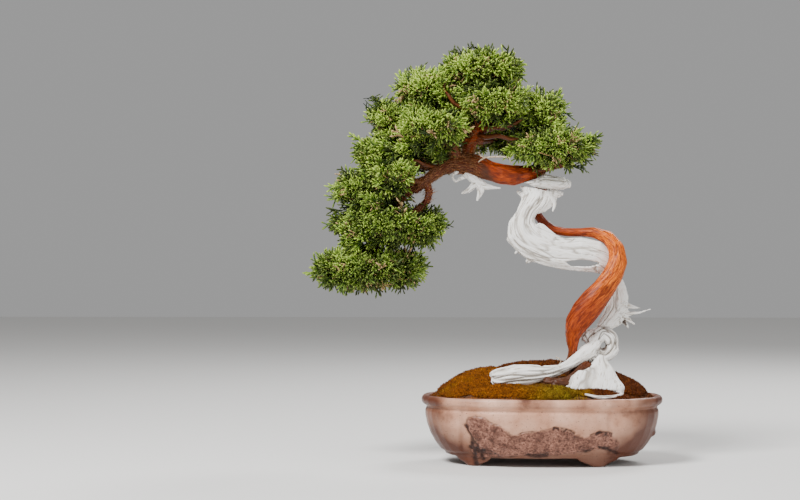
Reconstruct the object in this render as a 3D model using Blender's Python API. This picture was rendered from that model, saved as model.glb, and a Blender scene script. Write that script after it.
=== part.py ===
"""Potted bonsai: a driftwood-style juniper in a shallow oval pot.

Metres, +Z up. Front is -Y. The pot is built about its own centre, with its feet on z = 0.
The tree is laid out in millimetres in its own sheet, in which FOOT is the foot of the trunk,
and is placed in the soil by tree_point(). Every limb is a loft of ovals along stations
(x, y, z, half width, half depth).
"""
import math

import bmesh
import bpy
from mathutils import Vector

MM = 0.001
CLEARANCE = 0.0003

# Pot.
RIM_LENGTH = 0.360
RIM_DEPTH = 0.220
POT_HEIGHT = 0.101
WALL = 0.0095
LIP_HEIGHT = 0.013
LIP_OVERHANG = 0.0085
LIP_WIDTH = 0.0125
FOOT_HEIGHT = 0.013
FLOOR_THICKNESS = 0.011
BELLY = 0.0045
BASE_INSET = 0.038
DEPTH_TAPER = 0.8
SQUARENESS = 2.35
LOBE_NOTCH = 0.022
LOBE_CREASES = (-0.120, 0.094)
FEET = ((-0.102, 0.060), (0.080, 0.068))
FOOT_INSET = 0.009
FOOT_DEPTH = 0.018
FOOT_SOLE = 0.018
POT_SIDES = 44

# Drain holes, each with a screen held by a wire clip.
DRAIN_SPACING = 0.150
DRAIN_RADIUS = 0.011
SCREEN_WIDTH = 0.034
SCREEN_THICKNESS = 0.0015
SCREEN_PITCH = 0.0085
SCREEN_OPENING = 0.0055
CLIP_WIRE = 0.0008
CLIP_TAIL = 0.009

# Soil and moss.
SOIL_DROP = 0.005
SOIL_CROWN = 0.037
SOIL_LEAN = 0.75
SOIL_FULLNESS = 3.0
MOSS_EDGE = 0.0025
MOSS_BURIAL = 0.004

# Tree.
TREE_HEIGHT = 0.618
SHEET_HEIGHT = 618.0
FOOT = (46.0, 0.0, 132.0)
FOOT_X = 0.046

# name: (centre x, y, half length, half depth, thickness at the middle)
MOSS = {
    "moss_left": (-0.106, -0.004, 0.052, 0.060, 0.0085),
    "moss_right": (0.122, 0.002, 0.036, 0.052, 0.0085),
    "moss_front": (0.000, -0.073, 0.052, 0.017, 0.0100),
    "moss_rear": (0.008, 0.060, 0.086, 0.029, 0.0080),
    "moss_front_left": (-0.060, -0.062, 0.044, 0.019, 0.0060),
    "moss_front_right": (0.084, -0.066, 0.038, 0.014, 0.0050),
}

LIVE_TRUNK = (
    (46, 4, 108, 8, 8),
    (45, 3, 127, 15, 14),
    (45, 0, 144, 10.5, 11),
    (46, -6, 168, 9.5, 10),
    (46, -12, 189, 11, 12),
    (51, -18, 207, 18, 14),
    (61, -22, 223, 21, 15),
    (77, -24, 243, 20, 15),
    (92, -23, 261, 17, 14),
    (105, -20, 280, 16, 13),
    (113, -15, 300, 15, 12),
    (111, -10, 320, 12.5, 11),
    (99, -4, 336, 10.5, 9.5),
    (78, 2, 344, 8, 8.5),
    (57, 6, 344, 6.3, 7.5),
    (38, 9, 344, 6.3, 7),
    (18, 12, 348, 7, 7),
    (3, 14, 359, 7, 7),
    (-7, 18, 373, 7, 7),
    (-7, 22, 392, 8, 7.5),
    (0, 23, 409, 9, 8),
    (2, 18, 424, 9.5, 9),
    (-8, 8, 434, 9.5, 10),
    (-24, -2, 432, 12.5, 13),
    (-42, -9, 429, 15.5, 15),
    (-60, -12, 431, 15.5, 15),
    (-78, -12, 436, 14.5, 14),
    (-96, -12, 443, 16, 14),
    (-113, -12, 446, 16, 14),
    (-131, -14, 446, 12, 11),
    (-147, -16, 440, 8.5, 8),
    (-163, -19, 429, 7, 7),
    (-178, -22, 416, 6.5, 6),
    (-190, -26, 404, 3, 3),
)

# Side branches of the living wood, each from inside the wood to inside its foliage.
BRANCHES = {
    "loop_upper": ((-174, -20, 419, 5, 5), (-188, -22, 411, 5.5, 5), (-204, -20, 401, 5, 4.5),
                   (-217, -16, 385, 4.5, 4), (-230, -12, 365, 4, 4), (-242, -8, 335, 3.5, 3.5),
                   (-255, -5, 305, 3, 3)),
    "loop_lower": ((-172, -22, 416, 5, 5), (-168, -28, 404, 4.5, 4), (-171, -34, 390, 4.5, 4),
                   (-184, -34, 377, 4.5, 4), (-201, -30, 366, 4, 4), (-222, -24, 352, 3, 3)),
    "cascade_left": ((-172, -20, 423, 5, 5), (-198, -12, 416, 4.5, 4.5), (-222, -8, 410, 4, 4),
                     (-246, -8, 404, 3, 3)),
    "cascade_front": ((-176, -22, 418, 4, 4), (-196, -36, 420, 3.5, 3.5), (-214, -46, 424, 3, 3)),
    "left_spray": ((-150, -14, 438, 5, 5), (-178, -8, 443, 4.5, 4.5), (-206, -6, 449, 4, 4),
                   (-236, -8, 455, 3, 3)),
    "leader": ((-112, -10, 452, 9, 9), (-109, -4, 472, 9, 8.5), (-99, 2, 490, 8.5, 8),
               (-90, 4, 512, 7.5, 7.5), (-95, 2, 538, 6.5, 6.5), (-96, 0, 566, 5, 5),
               (-92, 0, 588, 3, 3)),
    "centre_left": ((-122, -14, 452, 6, 6), (-134, -24, 470, 5.5, 5.5), (-150, -36, 486, 4.5, 4.5),
                    (-166, -44, 494, 3, 3)),
    "far_left": ((-106, -4, 478, 6, 6), (-140, 0, 492, 5.5, 5.5), (-182, -2, 503, 4.5, 4.5),
                 (-226, -4, 509, 3, 3)),
    "upper_left": ((-92, 3, 516, 6, 6), (-122, 0, 528, 5.5, 5.5), (-146, -3, 545, 4.5, 4.5),
                   (-174, -5, 560, 3, 3)),
    "shoulder": ((-95, 2, 496, 6, 6), (-76, -14, 500, 5.5, 5.5), (-62, -28, 512, 4.5, 4.5),
                 (-64, -38, 526, 3, 3)),
    "upper_right": ((-92, 4, 508, 6, 6), (-56, 4, 503, 5.5, 5.5), (-22, 2, 512, 4.5, 4.5),
                    (2, 0, 526, 3, 3)),
    "right_low": ((-20, -2, 433, 6, 6), (6, -8, 440, 5.5, 5.5), (30, -14, 446, 4.5, 4.5),
                  (42, -18, 462, 3, 3)),
    "rear_right": ((-104, 0, 482, 6, 6), (-84, 26, 484, 5, 5), (-58, 52, 490, 3, 3)),
    "rear_top": ((-92, 4, 520, 6, 6), (-108, 28, 528, 5, 5), (-126, 52, 542, 3, 3)),
    "rear_left": ((-124, -8, 450, 6, 6), (-148, 18, 458, 5, 5), (-180, 46, 468, 3, 3)),
}

DEADWOOD_TRUNK = (
    (-3, -2, 407, 31, 12),
    (-5, -3, 397, 28.5, 14),
    (-11, -4, 389, 22, 14),
    (-20, -5, 380, 15, 13),
    (-25, -6, 369, 15, 13),
    (-29, -7, 357, 21, 13),
    (-28, -8, 345, 29, 13),
    (-17, -8, 334, 30, 13),
    (-1, -8, 324, 28, 13),
    (14, -8, 317, 25, 13),
    (32, -7, 312, 24, 12),
    (57, -5, 311, 26, 12),
    (80, 0, 308, 25, 12),
    (97, 6, 298, 20, 12),
    (106, 11, 284, 15, 12),
    (110, 14, 273, 13, 11),
)
TRUNK_HORNS = {
    "hook": ((2, -4, 391, 7, 8), (10, -4, 387, 4.5, 5), (9, -4, 378, 1, 1)),
    "horn": ((-26, -4, 398, 5, 6), (-33, -4, 403, 3, 3), (-38, -4, 406, 0.8, 0.8)),
    "spur": ((-12, -8, 308, 8, 8), (-20, -8, 302, 4, 4), (-24, -8, 297, 1.2, 1.2)),
    "brow": ((12, -3, 402, 8, 9), (26, -3, 401, 6, 7), (33, -3, 402, 2.5, 4)),
}
TRUNK_HOLE = ((35, -6, 300, 1, 30), (43, -6, 298, 5, 30), (58, -6, 298, 6.2, 30),
              (72, -6, 297.5, 5.6, 30), (86, -6, 297.5, 1, 30))

DEADWOOD_LOWER = (
    (111, 14, 271, 12, 10),
    (113, 14, 260, 14.5, 11),
    (115, 13, 246, 16.5, 11),
    (114, 11, 230, 18, 11),
    (107, 8, 216, 17, 10),
    (95, 5, 206, 11, 9),
    (86, 3, 201, 6, 6),
)
LOWER_SPIKES = {
    "upper": ((118, 11, 236, 9, 7), (132, 11, 233, 4.5, 3.5), (141, 11, 231, 2.4, 2),
              (149, 11, 230, 0.8, 0.8)),
    "long": ((119, 11, 227, 8, 7), (133, 9, 222, 4, 3), (148, 7, 224, 1.8, 1.6),
             (164, 5, 229, 0.7, 0.7)),
    "short": ((118, 10, 220, 8, 6), (131, 9, 213, 3.4, 3), (140, 8, 206, 1.2, 1.2)),
    "foot": ((116, 11, 218, 8, 6), (126, 12, 208, 4.2, 4), (131, 12, 200, 1.2, 1.5)),
}

KNOT_CENTRE = (91, -3, 176)
KNOT_RADIUS = 14.5
KNOT_TUBE = 10.0
KNOT_STRETCH = (1.0, 1.06, 0.95)
KNOT_LIMBS = {
    "shoulder": ((80, 0, 190, 9, 8), (68, 1, 187, 10.5, 9), (60, 2, 186, 4, 4)),
    "top": ((92, 2, 190, 8, 8), (89, 3, 197, 8, 8), (87, 4, 200, 5, 5)),
    "leg": ((80, -6, 166, 12, 9), (74, -8, 157, 10, 9), (78, -8, 152, 7, 7)),
    "root": ((84, -4, 173, 13, 10), (66, -13, 164, 11.5, 10), (53, -20, 156, 8.5, 9),
             (41, -26, 147.5, 7.2, 8), (26, -31, 140, 6.4, 8), (8, -36, 136.5, 10, 9),
             (-18, -39, 133.5, 15.5, 9.5), (-40, -41, 132.5, 16.5, 9.5), (-62, -42, 129, 15, 9),
             (-78, -42, 127.5, 13, 7)),
}

FRONT_ROOT = (
    (88, -8, 157, 7.5, 7),
    (87, -14, 150, 11, 8),
    (87, -24, 141, 19, 9),
    (86, -33, 133, 26, 9.5),
    (83, -41, 125, 35, 9.5),
    (79, -49, 117, 42, 9),
    (77, -55, 109, 45, 8),
    (76, -59, 102, 44, 6),
)
FRONT_ROOT_ARCH = ((78, -84, 105, 23, 9.5), (78, -60, 105, 22, 9.5), (80, -42, 105, 15, 6))

BARK_ROOT = ((4, -47, 123, 4, 4), (20, -48, 121, 5, 6), (36, -46, 121, 6, 7),
             (48, -40, 128, 6.5, 7), (58, -31, 138, 5.5, 6), (68, -22, 147, 4, 5))

RIM_ROOT = ((60, -78, 107, 1.5, 1.5), (74, -81, 104, 2.6, 3), (88, -81, 102.5, 3, 3.2),
            (103, -75, 104, 2.8, 3), (116, -66, 107, 1.5, 1.5))

CROWN_PLATE = ((-27, -8, 419, 1.2, 3), (-12, -7, 417, 5.5, 9), (4, -5, 420, 11.5, 14),
               (18, -4, 417.5, 10.5, 15), (32, -4, 417, 9, 13), (43, -4, 415.5, 4, 6))

JIN = {
    "body": ((-114, -16, 433, 4.5, 5), (-104, -16, 425, 6.5, 5.5), (-94, -15, 417, 7.5, 5.5),
             (-83, -14, 412, 4.5, 4), (-72, -13, 411, 2.2, 2.2), (-62, -12, 410, 0.8, 0.8)),
    "tooth": ((-94, -15, 417, 7, 5), (-91, -16, 405, 5.5, 4), (-97, -16, 391, 1, 1)),
    "claw": ((-100, -15, 416, 6, 4.5), (-110, -15, 406, 4, 3.5), (-120, -15, 402, 1.8, 2)),
    "ear": ((-110, -16, 430, 4, 4), (-122, -17, 424, 3.2, 3), (-130, -17, 419, 1.2, 1.4)),
    "hanger": ((-126, -16, 436, 4.5, 4), (-133, -17, 430, 2.6, 2.6), (-132, -17, 423, 2.2, 2.2),
               (-127, -17, 418, 1.2, 1.4)),
}

DRY_TWIG = {
    "stem": ((-86, -30, 455, 1.3, 1.3), (-66, -32, 456, 1.2, 1.2), (-50, -33, 455, 1.1, 1.1),
             (-46, -34, 446, 0.9, 0.9)),
    "fork_up": ((-86, -30, 455, 1.3, 1.3), (-91, -30, 457, 1.2, 1.2), (-95, -30, 463, 0.8, 0.8)),
    "fork_down": ((-85, -30, 455, 1.3, 1.3), (-92, -28, 451, 1.3, 1.3), (-97, -23, 447, 1.3, 1.3)),
}

# name: (centre x, y, z, half length, half depth, half height)
FOLIAGE = {
    "foliage_apex": (-89, -2, 583, 64, 56, 34),
    "foliage_right": (17, -24, 466, 67, 54, 34),
    "foliage_shoulder": (-70, -42, 528, 54, 42, 27),
    "foliage_upper_right": (-2, 6, 523, 38, 48, 26),
    "foliage_upper_left": (-172, -6, 553, 52, 52, 33),
    "foliage_centre_left": (-162, -48, 494, 57, 40, 27),
    "foliage_far_left": (-231, -4, 508, 29, 42, 26),
    "foliage_left": (-247, -8, 455, 35, 46, 25),
    "foliage_left_front": (-218, -54, 424, 40, 34, 23),
    "foliage_cascade": (-251, -4, 402, 66, 54, 30),
    "foliage_lower": (-228, -14, 349, 89, 60, 31),
    "foliage_lowest": (-259, -6, 285, 91, 58, 43),
    "foliage_rear_top": (-128, 58, 545, 76, 44, 32),
    "foliage_rear_right": (-52, 62, 489, 78, 44, 30),
    "foliage_rear_left": (-186, 54, 466, 66, 44, 31),
}
FOLIAGE_FLATNESS = 0.82
FOLIAGE_LUMPS = 0.055

COLOURS = {
    "pot": ((0.42, 0.27, 0.20), 0.45, 0.0),
    "screen": ((0.03, 0.03, 0.03), 0.60, 0.0),
    "wire": ((0.50, 0.50, 0.52), 0.35, 1.0),
    "soil": ((0.12, 0.06, 0.03), 0.95, 0.0),
    "moss": ((0.20, 0.16, 0.02), 0.95, 0.0),
    "bark": ((0.36, 0.12, 0.04), 0.60, 0.0),
    "deadwood": ((0.80, 0.77, 0.71), 0.75, 0.0),
    "twig": ((0.62, 0.52, 0.40), 0.80, 0.0),
    "foliage": ((0.10, 0.22, 0.03), 0.60, 0.0),
}


def clear_scene():
    """Remove everything that the file opened with."""
    for item in list(bpy.data.objects):
        bpy.data.objects.remove(item)


def make_materials():
    """One Principled material for each kind of surface."""
    materials = {}
    for name, (colour, roughness, metallic) in COLOURS.items():
        material = bpy.data.materials.new(name)
        material.use_nodes = True
        shader = material.node_tree.nodes["Principled BSDF"]
        shader.inputs["Base Color"].default_value = (*colour, 1.0)
        shader.inputs["Roughness"].default_value = roughness
        shader.inputs["Metallic"].default_value = metallic
        materials[name] = material
    return materials


def bake(piece):
    """Swap a piece's mesh for the one that its modifiers make."""
    depsgraph = bpy.context.evaluated_depsgraph_get()
    mesh = bpy.data.meshes.new_from_object(piece.evaluated_get(depsgraph))
    piece.modifiers.clear()
    piece.data = mesh


def combine(piece, tool, operation, tangled=False):
    """Union or difference of a piece with a tool, which is used up.

    tangled is for wood whose limbs meet so closely that their faces cross.
    """
    modifier = piece.modifiers.new(operation.lower(), "BOOLEAN")
    modifier.object = tool
    modifier.operation = operation
    modifier.solver = "EXACT"
    modifier.use_self = tangled
    bake(piece)
    bpy.data.objects.remove(tool)


def keep_main_body(piece):
    """Drop the crumbs that a cut leaves beside the main body."""
    bm = bmesh.new()
    bm.from_mesh(piece.data)
    unseen = set(bm.faces)
    bodies = []
    while unseen:
        front = [unseen.pop()]
        body = set(front)
        while front:
            for edge in front.pop().edges:
                if len(edge.link_faces) > 2:
                    continue
                for face in edge.link_faces:
                    if face in unseen:
                        unseen.discard(face)
                        body.add(face)
                        front.append(face)
        bodies.append(body)
    bodies.sort(key=len)
    for body in bodies[:-1]:
        bmesh.ops.delete(bm, geom=list(body), context="FACES")
    bm.to_mesh(piece.data)
    bm.free()


def object_from(bm, name):
    """Close a bmesh into a new object with its faces pointing out."""
    bmesh.ops.recalc_face_normals(bm, faces=bm.faces)
    mesh = bpy.data.meshes.new(name)
    bm.to_mesh(mesh)
    bm.free()
    piece = bpy.data.objects.new(name, mesh)
    bpy.context.scene.collection.objects.link(piece)
    return piece


def skin(bm, rings):
    """Triangles between neighbouring rings, split alike on every copy, and a cap on each end."""
    for lower, upper in zip(rings, rings[1:]):
        for k in range(len(lower)):
            nxt = (k + 1) % len(lower)
            bm.faces.new((lower[k], lower[nxt], upper[nxt]))
            bm.faces.new((lower[k], upper[nxt], upper[k]))
    bm.faces.new(rings[0])
    bm.faces.new(rings[-1])


# Pot.

def plan_halves(inset):
    """Half length and half depth of the pot's plan at an inset from the rim."""
    return RIM_LENGTH / 2 - inset, RIM_DEPTH / 2 - DEPTH_TAPER * inset


def pot_outline(angle, inset, notch):
    """Point of the pot's plan at a parametric angle, inset from the rim."""
    half_length, half_depth = plan_halves(inset)
    c = math.cos(angle)
    s = math.sin(angle)
    reach = (abs(c) ** SQUARENESS + abs(s) ** SQUARENESS) ** (-1 / SQUARENESS)
    for crease in LOBE_CREASES:
        middle = math.acos(2 * crease / RIM_LENGTH)
        away = min(abs(angle - middle), abs(angle - (2 * math.pi - middle)))
        reach *= 1 - notch * math.exp(-((away / 0.13) ** 2))
    return half_length * reach * c, half_depth * reach * s


def plan_ring(bm, inset, z, notch=0.0):
    """Ring of vertices that follows the pot's plan at one height."""
    ring = []
    for k in range(POT_SIDES):
        x, y = pot_outline(2 * math.pi * k / POT_SIDES, inset, notch)
        ring.append(bm.verts.new((x, y, z)))
    return ring


def body_inset(share):
    """How far the body's outer face lies inside the rim, at a share of its height."""
    fullness = 1 - (1 - share) ** 2.1
    return BASE_INSET + (BELLY - BASE_INSET) * fullness ** 0.82


def inner_profile():
    """(inset, z) of the pot's inner face from the lip down to the floor."""
    floor = FOOT_HEIGHT + FLOOR_THICKNESS
    top = POT_HEIGHT - 0.006
    rows = [(LIP_WIDTH, top)]
    for share in (0.62, 0.36, 0.16):
        rows.append((body_inset(share) + WALL, floor + share * (top - floor)))
    rows.append((BASE_INSET + WALL * 0.55, floor))
    return rows


def build_pot():
    """Oval pot with four soft lobes, a rounded lip, two drain holes and four cloud feet."""
    body_top = POT_HEIGHT - LIP_HEIGHT
    bm = bmesh.new()
    rings = [plan_ring(bm, BASE_INSET + 0.002, FOOT_HEIGHT, LOBE_NOTCH)]
    rings.append(plan_ring(bm, BASE_INSET - 0.001, FOOT_HEIGHT + 0.001, LOBE_NOTCH))
    rings.append(plan_ring(bm, BASE_INSET - 0.002, FOOT_HEIGHT + 0.004, LOBE_NOTCH))
    for share in (0.11, 0.25, 0.42, 0.60, 0.78):
        z = FOOT_HEIGHT + share * (body_top - FOOT_HEIGHT)
        rings.append(plan_ring(bm, body_inset(share), z, LOBE_NOTCH))
    neck = body_top - 0.003
    rings.append(plan_ring(bm, LIP_OVERHANG - 0.003, neck - 0.006, LOBE_NOTCH * 0.8))
    rings.append(plan_ring(bm, LIP_OVERHANG, neck, LOBE_NOTCH * 0.6))
    for inset, drop, notch in ((0.0032, 1.0, 0.3), (0.0006, 0.78, 0.2), (0.0, 0.5, 0.2),
                               (0.0008, 0.2, 0.2), (0.0036, 0.02, 0.2), (0.0072, 0.0, 0.2),
                               (0.0105, 0.06, 0.1)):
        rings.append(plan_ring(bm, inset, POT_HEIGHT - drop * LIP_HEIGHT, LOBE_NOTCH * notch))
    for inset, z in inner_profile():
        rings.append(plan_ring(bm, inset, z))
    skin(bm, rings)
    pot = object_from(bm, "pot")
    for x, width in FEET:
        for side in (-1, 1):
            combine(pot, build_foot(x, side, width), "UNION")
    for side in (-1, 1):
        combine(pot, drain_cutter(side), "DIFFERENCE")
    return pot


def base_edge(x):
    """How far the row of feet lies from the pot's long axis."""
    half_length, half_depth = plan_halves(BASE_INSET + FOOT_INSET)
    return half_depth * (1 - (abs(x) / half_length) ** SQUARENESS) ** (1 / SQUARENESS)


def build_foot(x, side, width):
    """Cloud foot along the base's edge: broad under the body, curving in to a small flat sole."""
    rows = ((0.50 * width, 0.5 * FOOT_DEPTH + 0.002, 1.35), (0.50 * width, 0.5 * FOOT_DEPTH, 0.95),
            (0.42 * width, 0.5 * FOOT_DEPTH, 0.62), (0.27 * width, 0.44 * FOOT_DEPTH, 0.34),
            (0.58 * FOOT_SOLE, 0.40 * FOOT_DEPTH, 0.08), (0.5 * FOOT_SOLE, 0.36 * FOOT_DEPTH, 0.0))
    bm = bmesh.new()
    rings = []
    for half_width, half_depth, level in rows:
        ring = []
        for k in range(16):
            angle = 2 * math.pi * k / 16
            ring.append(bm.verts.new((half_width * math.cos(angle), half_depth * math.sin(angle),
                                      level * FOOT_HEIGHT)))
        rings.append(ring)
    skin(bm, rings)
    foot = object_from(bm, "foot")
    reach = 0.25 * width
    foot.location = (x, side * base_edge(x), 0)
    foot.rotation_euler = (0, 0, side * math.atan2(base_edge(x + reach) - base_edge(x - reach), 2 * reach))
    return foot


def drain_cutter(side):
    """Cylinder that opens one drain hole through the floor."""
    bpy.ops.mesh.primitive_cylinder_add(
        vertices=20, radius=DRAIN_RADIUS, depth=4 * FLOOR_THICKNESS,
        location=(side * DRAIN_SPACING / 2, 0, FOOT_HEIGHT + FLOOR_THICKNESS / 2))
    return bpy.context.object


def build_screen(side, name):
    """Square drain screen with a grid of openings, flat on the pot's floor."""
    floor = FOOT_HEIGHT + FLOOR_THICKNESS
    z = floor + CLEARANCE + SCREEN_THICKNESS / 2
    bpy.ops.mesh.primitive_cube_add(size=1, location=(side * DRAIN_SPACING / 2, 0, z))
    screen = bpy.context.object
    screen.name = name
    screen.scale = (SCREEN_WIDTH, SCREEN_WIDTH, SCREEN_THICKNESS)
    bpy.ops.object.transform_apply(location=True, scale=True)
    for row in (-1, 0, 1):
        for column in (-1, 0, 1):
            bpy.ops.mesh.primitive_cube_add(
                size=1, location=(side * DRAIN_SPACING / 2 + column * SCREEN_PITCH,
                                  row * SCREEN_PITCH, z))
            opening = bpy.context.object
            opening.scale = (SCREEN_OPENING, SCREEN_OPENING, 4 * SCREEN_THICKNESS)
            combine(screen, opening, "DIFFERENCE")
    return screen


def build_clip(side, name):
    """Wire staple over the screen, down the drain hole and out under the pot."""
    floor = FOOT_HEIGHT + FLOOR_THICKNESS
    over = floor + 2 * CLEARANCE + SCREEN_THICKNESS + CLIP_WIRE
    under = FOOT_HEIGHT - CLEARANCE - CLIP_WIRE
    leg = SCREEN_PITCH
    x = side * DRAIN_SPACING / 2
    route = ((-leg - CLIP_TAIL, under), (-leg - 0.0015, under), (-leg, under + 0.0015), (-leg, over - 0.0012),
             (-leg + 0.0012, over), (leg - 0.0012, over), (leg, over - 0.0012), (leg, under + 0.0015),
             (leg + 0.0015, under), (leg + CLIP_TAIL, under))
    data = bpy.data.curves.new(name, "CURVE")
    data.dimensions = "3D"
    data.bevel_depth = CLIP_WIRE
    data.bevel_resolution = 1
    data.use_fill_caps = True
    wire = data.splines.new("POLY")
    wire.points.add(len(route) - 1)
    for point, (along, z) in zip(wire.points, route):
        point.co = (x + along, 0, z, 1)
    clip = bpy.data.objects.new(name, data)
    bpy.context.scene.collection.objects.link(clip)
    return clip


# Soil and moss.

def soil_height(x, y):
    """Height of the soil's mound above the table."""
    half_length, half_depth = plan_halves(LIP_WIDTH)
    c = abs(x) / half_length
    s = abs(y) / half_depth
    reach = min((c ** SQUARENESS + s ** SQUARENESS) ** (1 / SQUARENESS), 1.0)
    lean = 1 + SOIL_LEAN * y / half_depth
    return POT_HEIGHT - SOIL_DROP - CLEARANCE + SOIL_CROWN * (1 - reach ** SOIL_FULLNESS) * lean


def build_soil(grow=0.0):
    """Soil that fills the pot to a leaning mound, with pockets over the drain screens."""
    bm = bmesh.new()
    profile = inner_profile()
    gap = 2 * CLEARANCE
    rings = [plan_ring(bm, profile[-1][0] + gap, profile[-1][1] + CLEARANCE)]
    for inset, z in reversed(profile[1:-1]):
        rings.append(plan_ring(bm, inset + gap, z))
    top_inset = profile[0][0] + gap
    rings.append(plan_ring(bm, top_inset, POT_HEIGHT - SOIL_DROP - 0.004))
    for share in (1.0, 0.96, 0.90, 0.80, 0.66, 0.50, 0.32, 0.15):
        ring = []
        for k in range(POT_SIDES):
            x, y = pot_outline(2 * math.pi * k / POT_SIDES, top_inset, 0.0)
            ring.append(bm.verts.new((share * x, share * y,
                                      soil_height(share * x, share * y) + grow)))
        rings.append(ring)
    skin(bm, rings)
    return object_from(bm, "soil")


def pocket_cutter(side):
    """Room in the soil's underside for a drain screen and the top of its clip."""
    height = SCREEN_THICKNESS + 2 * CLIP_WIRE + 4 * CLEARANCE
    bpy.ops.mesh.primitive_cube_add(
        size=1, location=(side * DRAIN_SPACING / 2, 0, FOOT_HEIGHT + FLOOR_THICKNESS + height / 2))
    pocket = bpy.context.object
    width = SCREEN_WIDTH + 2 * CLEARANCE
    pocket.scale = (width, width, height + 2 * CLEARANCE)
    return pocket


def build_moss(name, grow=0.0):
    """Moss cushion: a dome that thins to its edge, sunk a little into the soil."""
    x0, y0, half_length, half_depth, thickness = MOSS[name]
    bm = bmesh.new()
    rings = []
    sides = 14
    for share, level in ((0.30, 0), (1.0, 0), (1.0, 1), (0.86, 1), (0.62, 1), (0.30, 1)):
        ring = []
        for k in range(sides):
            angle = 2 * math.pi * k / sides
            ripple = 1 + 0.05 * math.sin(3 * angle + 40 * x0) + 0.03 * math.sin(5 * angle)
            x = x0 + (half_length * ripple * share + grow) * math.cos(angle)
            y = y0 + (half_depth * ripple * share + grow) * math.sin(angle)
            z = soil_height(x, y) - MOSS_BURIAL
            if level:
                z += MOSS_BURIAL + MOSS_EDGE + (thickness - MOSS_EDGE) * (1 - share ** 2.2) + grow
            ring.append(bm.verts.new((x, y, z)))
        rings.append(ring)
    skin(bm, rings)
    return object_from(bm, name)


# Tree.

def tree_scale():
    """Metres for each unit of the tree's sheet."""
    ground = soil_height(FOOT_X, 0.0)
    return (TREE_HEIGHT - ground) / (SHEET_HEIGHT - FOOT[2])


def tree_point(x, y, z):
    """Place of a sheet point in the pot's frame."""
    scale = tree_scale()
    return Vector((FOOT_X + (x - FOOT[0]) * scale, (y - FOOT[1]) * scale,
                   soil_height(FOOT_X, 0.0) + (z - FOOT[2]) * scale))


def smooth_stations(stations, steps):
    """Catmull-Rom curve through the stations, all five values alike."""
    rows = [stations[0], *stations, stations[-1]]
    curve = []
    for a, b, c, d in zip(rows, rows[1:], rows[2:], rows[3:]):
        for step in range(steps):
            t = step / steps
            curve.append([0.5 * (2 * q + (r - p) * t + (2 * p - 5 * q + 4 * r - s) * t * t
                                 + (3 * q - p - 3 * r + s) * t ** 3)
                          for p, q, r, s in zip(a, b, c, d)])
    curve.append(list(stations[-1]))
    return curve


def build_limb(name, stations, grow=0.0, sides=10, steps=1, deep=(0, 1, 0)):
    """Loft of ovals along the stations; deep is the way that half depth is measured."""
    scale = tree_scale()
    curve = smooth_stations(stations, steps)
    centres = [tree_point(*row[:3]) for row in curve]
    bm = bmesh.new()
    rings = []
    for i, row in enumerate(curve):
        ahead = centres[min(i + 1, len(centres) - 1)]
        behind = centres[max(i - 1, 0)]
        along = (ahead - behind).normalized()
        across = along.cross(Vector(deep)).normalized()
        depth = across.cross(along)
        centre = centres[i].copy()
        if i == 0:
            centre -= along * grow
        if i == len(curve) - 1:
            centre += along * grow
        width = row[3] * scale + grow
        thickness = row[4] * scale + grow
        ring = []
        for k in range(sides):
            angle = 2 * math.pi * (k + 0.5) / sides
            ring.append(bm.verts.new(centre + across * width * math.cos(angle)
                                     + depth * thickness * math.sin(angle)))
        rings.append(ring)
    skin(bm, rings)
    return object_from(bm, name)


def join_limbs(name, first, others, grow=0.0, sides=6):
    """Union of a limb with the smaller limbs that grow from it."""
    piece = build_limb(name, first, grow=grow)
    for stations in others:
        combine(piece, build_limb("limb", stations, grow=grow, sides=sides), "UNION", tangled=True)
    return piece


def build_live_trunk(grow=0.0):
    """Living wood: the bark-covered trunk with all its branches."""
    piece = build_limb("live_trunk", LIVE_TRUNK, grow=grow, sides=10)
    for name, stations in BRANCHES.items():
        deep = (1, 0, 0) if name.startswith("rear") else (0, 1, 0)
        combine(piece, build_limb("limb", stations, grow=grow, sides=7, deep=deep), "UNION", tangled=True)
    return piece


def build_deadwood_trunk(grow=0.0):
    """Bleached trunk with its horns and the slot through its lower edge."""
    piece = join_limbs("deadwood_trunk", DEADWOOD_TRUNK, TRUNK_HORNS.values(), grow)
    combine(piece, build_limb("slot", TRUNK_HOLE, grow=-grow, sides=8), "DIFFERENCE")
    return piece


def build_deadwood_lower(grow=0.0):
    """Bleached stump behind the living trunk, with four spikes."""
    return join_limbs("deadwood_lower", DEADWOOD_LOWER, LOWER_SPIKES.values(), grow)


def build_knot_root(grow=0.0):
    """Looped knot at the foot and the long flat root that runs out of it."""
    scale = tree_scale()
    bpy.ops.mesh.primitive_torus_add(
        major_segments=18, minor_segments=9, major_radius=KNOT_RADIUS * scale,
        minor_radius=KNOT_TUBE * scale + grow, location=tree_point(*KNOT_CENTRE),
        rotation=(math.pi / 2, 0, 0))
    piece = bpy.context.object
    piece.name = "deadwood_knot_root"
    piece.scale = KNOT_STRETCH
    bpy.ops.object.transform_apply(location=True, rotation=True, scale=True)
    for name, stations in KNOT_LIMBS.items():
        combine(piece, build_limb("limb", stations, grow=grow, sides=8), "UNION", tangled=True)
    return piece


def build_front_root(grow=0.0):
    """Bell-shaped root that spreads to the front over a low arch."""
    piece = build_limb("deadwood_front_root", FRONT_ROOT, grow=grow, sides=14)
    arch = build_limb("arch", FRONT_ROOT_ARCH, grow=-grow, sides=10, deep=(0, 0, 1))
    combine(piece, arch, "DIFFERENCE")
    return piece


def build_bark_root(grow=0.0):
    """Brown root that still has its bark, below the bleached one."""
    return build_limb("bark_root", BARK_ROOT, grow=grow, sides=8)


def build_rim_root(grow=0.0):
    """Thin bleached root along the front rim."""
    return build_limb("deadwood_rim_root", RIM_ROOT, grow=grow, sides=6)


def build_crown_plate(grow=0.0):
    """Bleached cap on top of the bare trunk."""
    return build_limb("deadwood_crown", CROWN_PLATE, grow=grow, sides=12)


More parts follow.
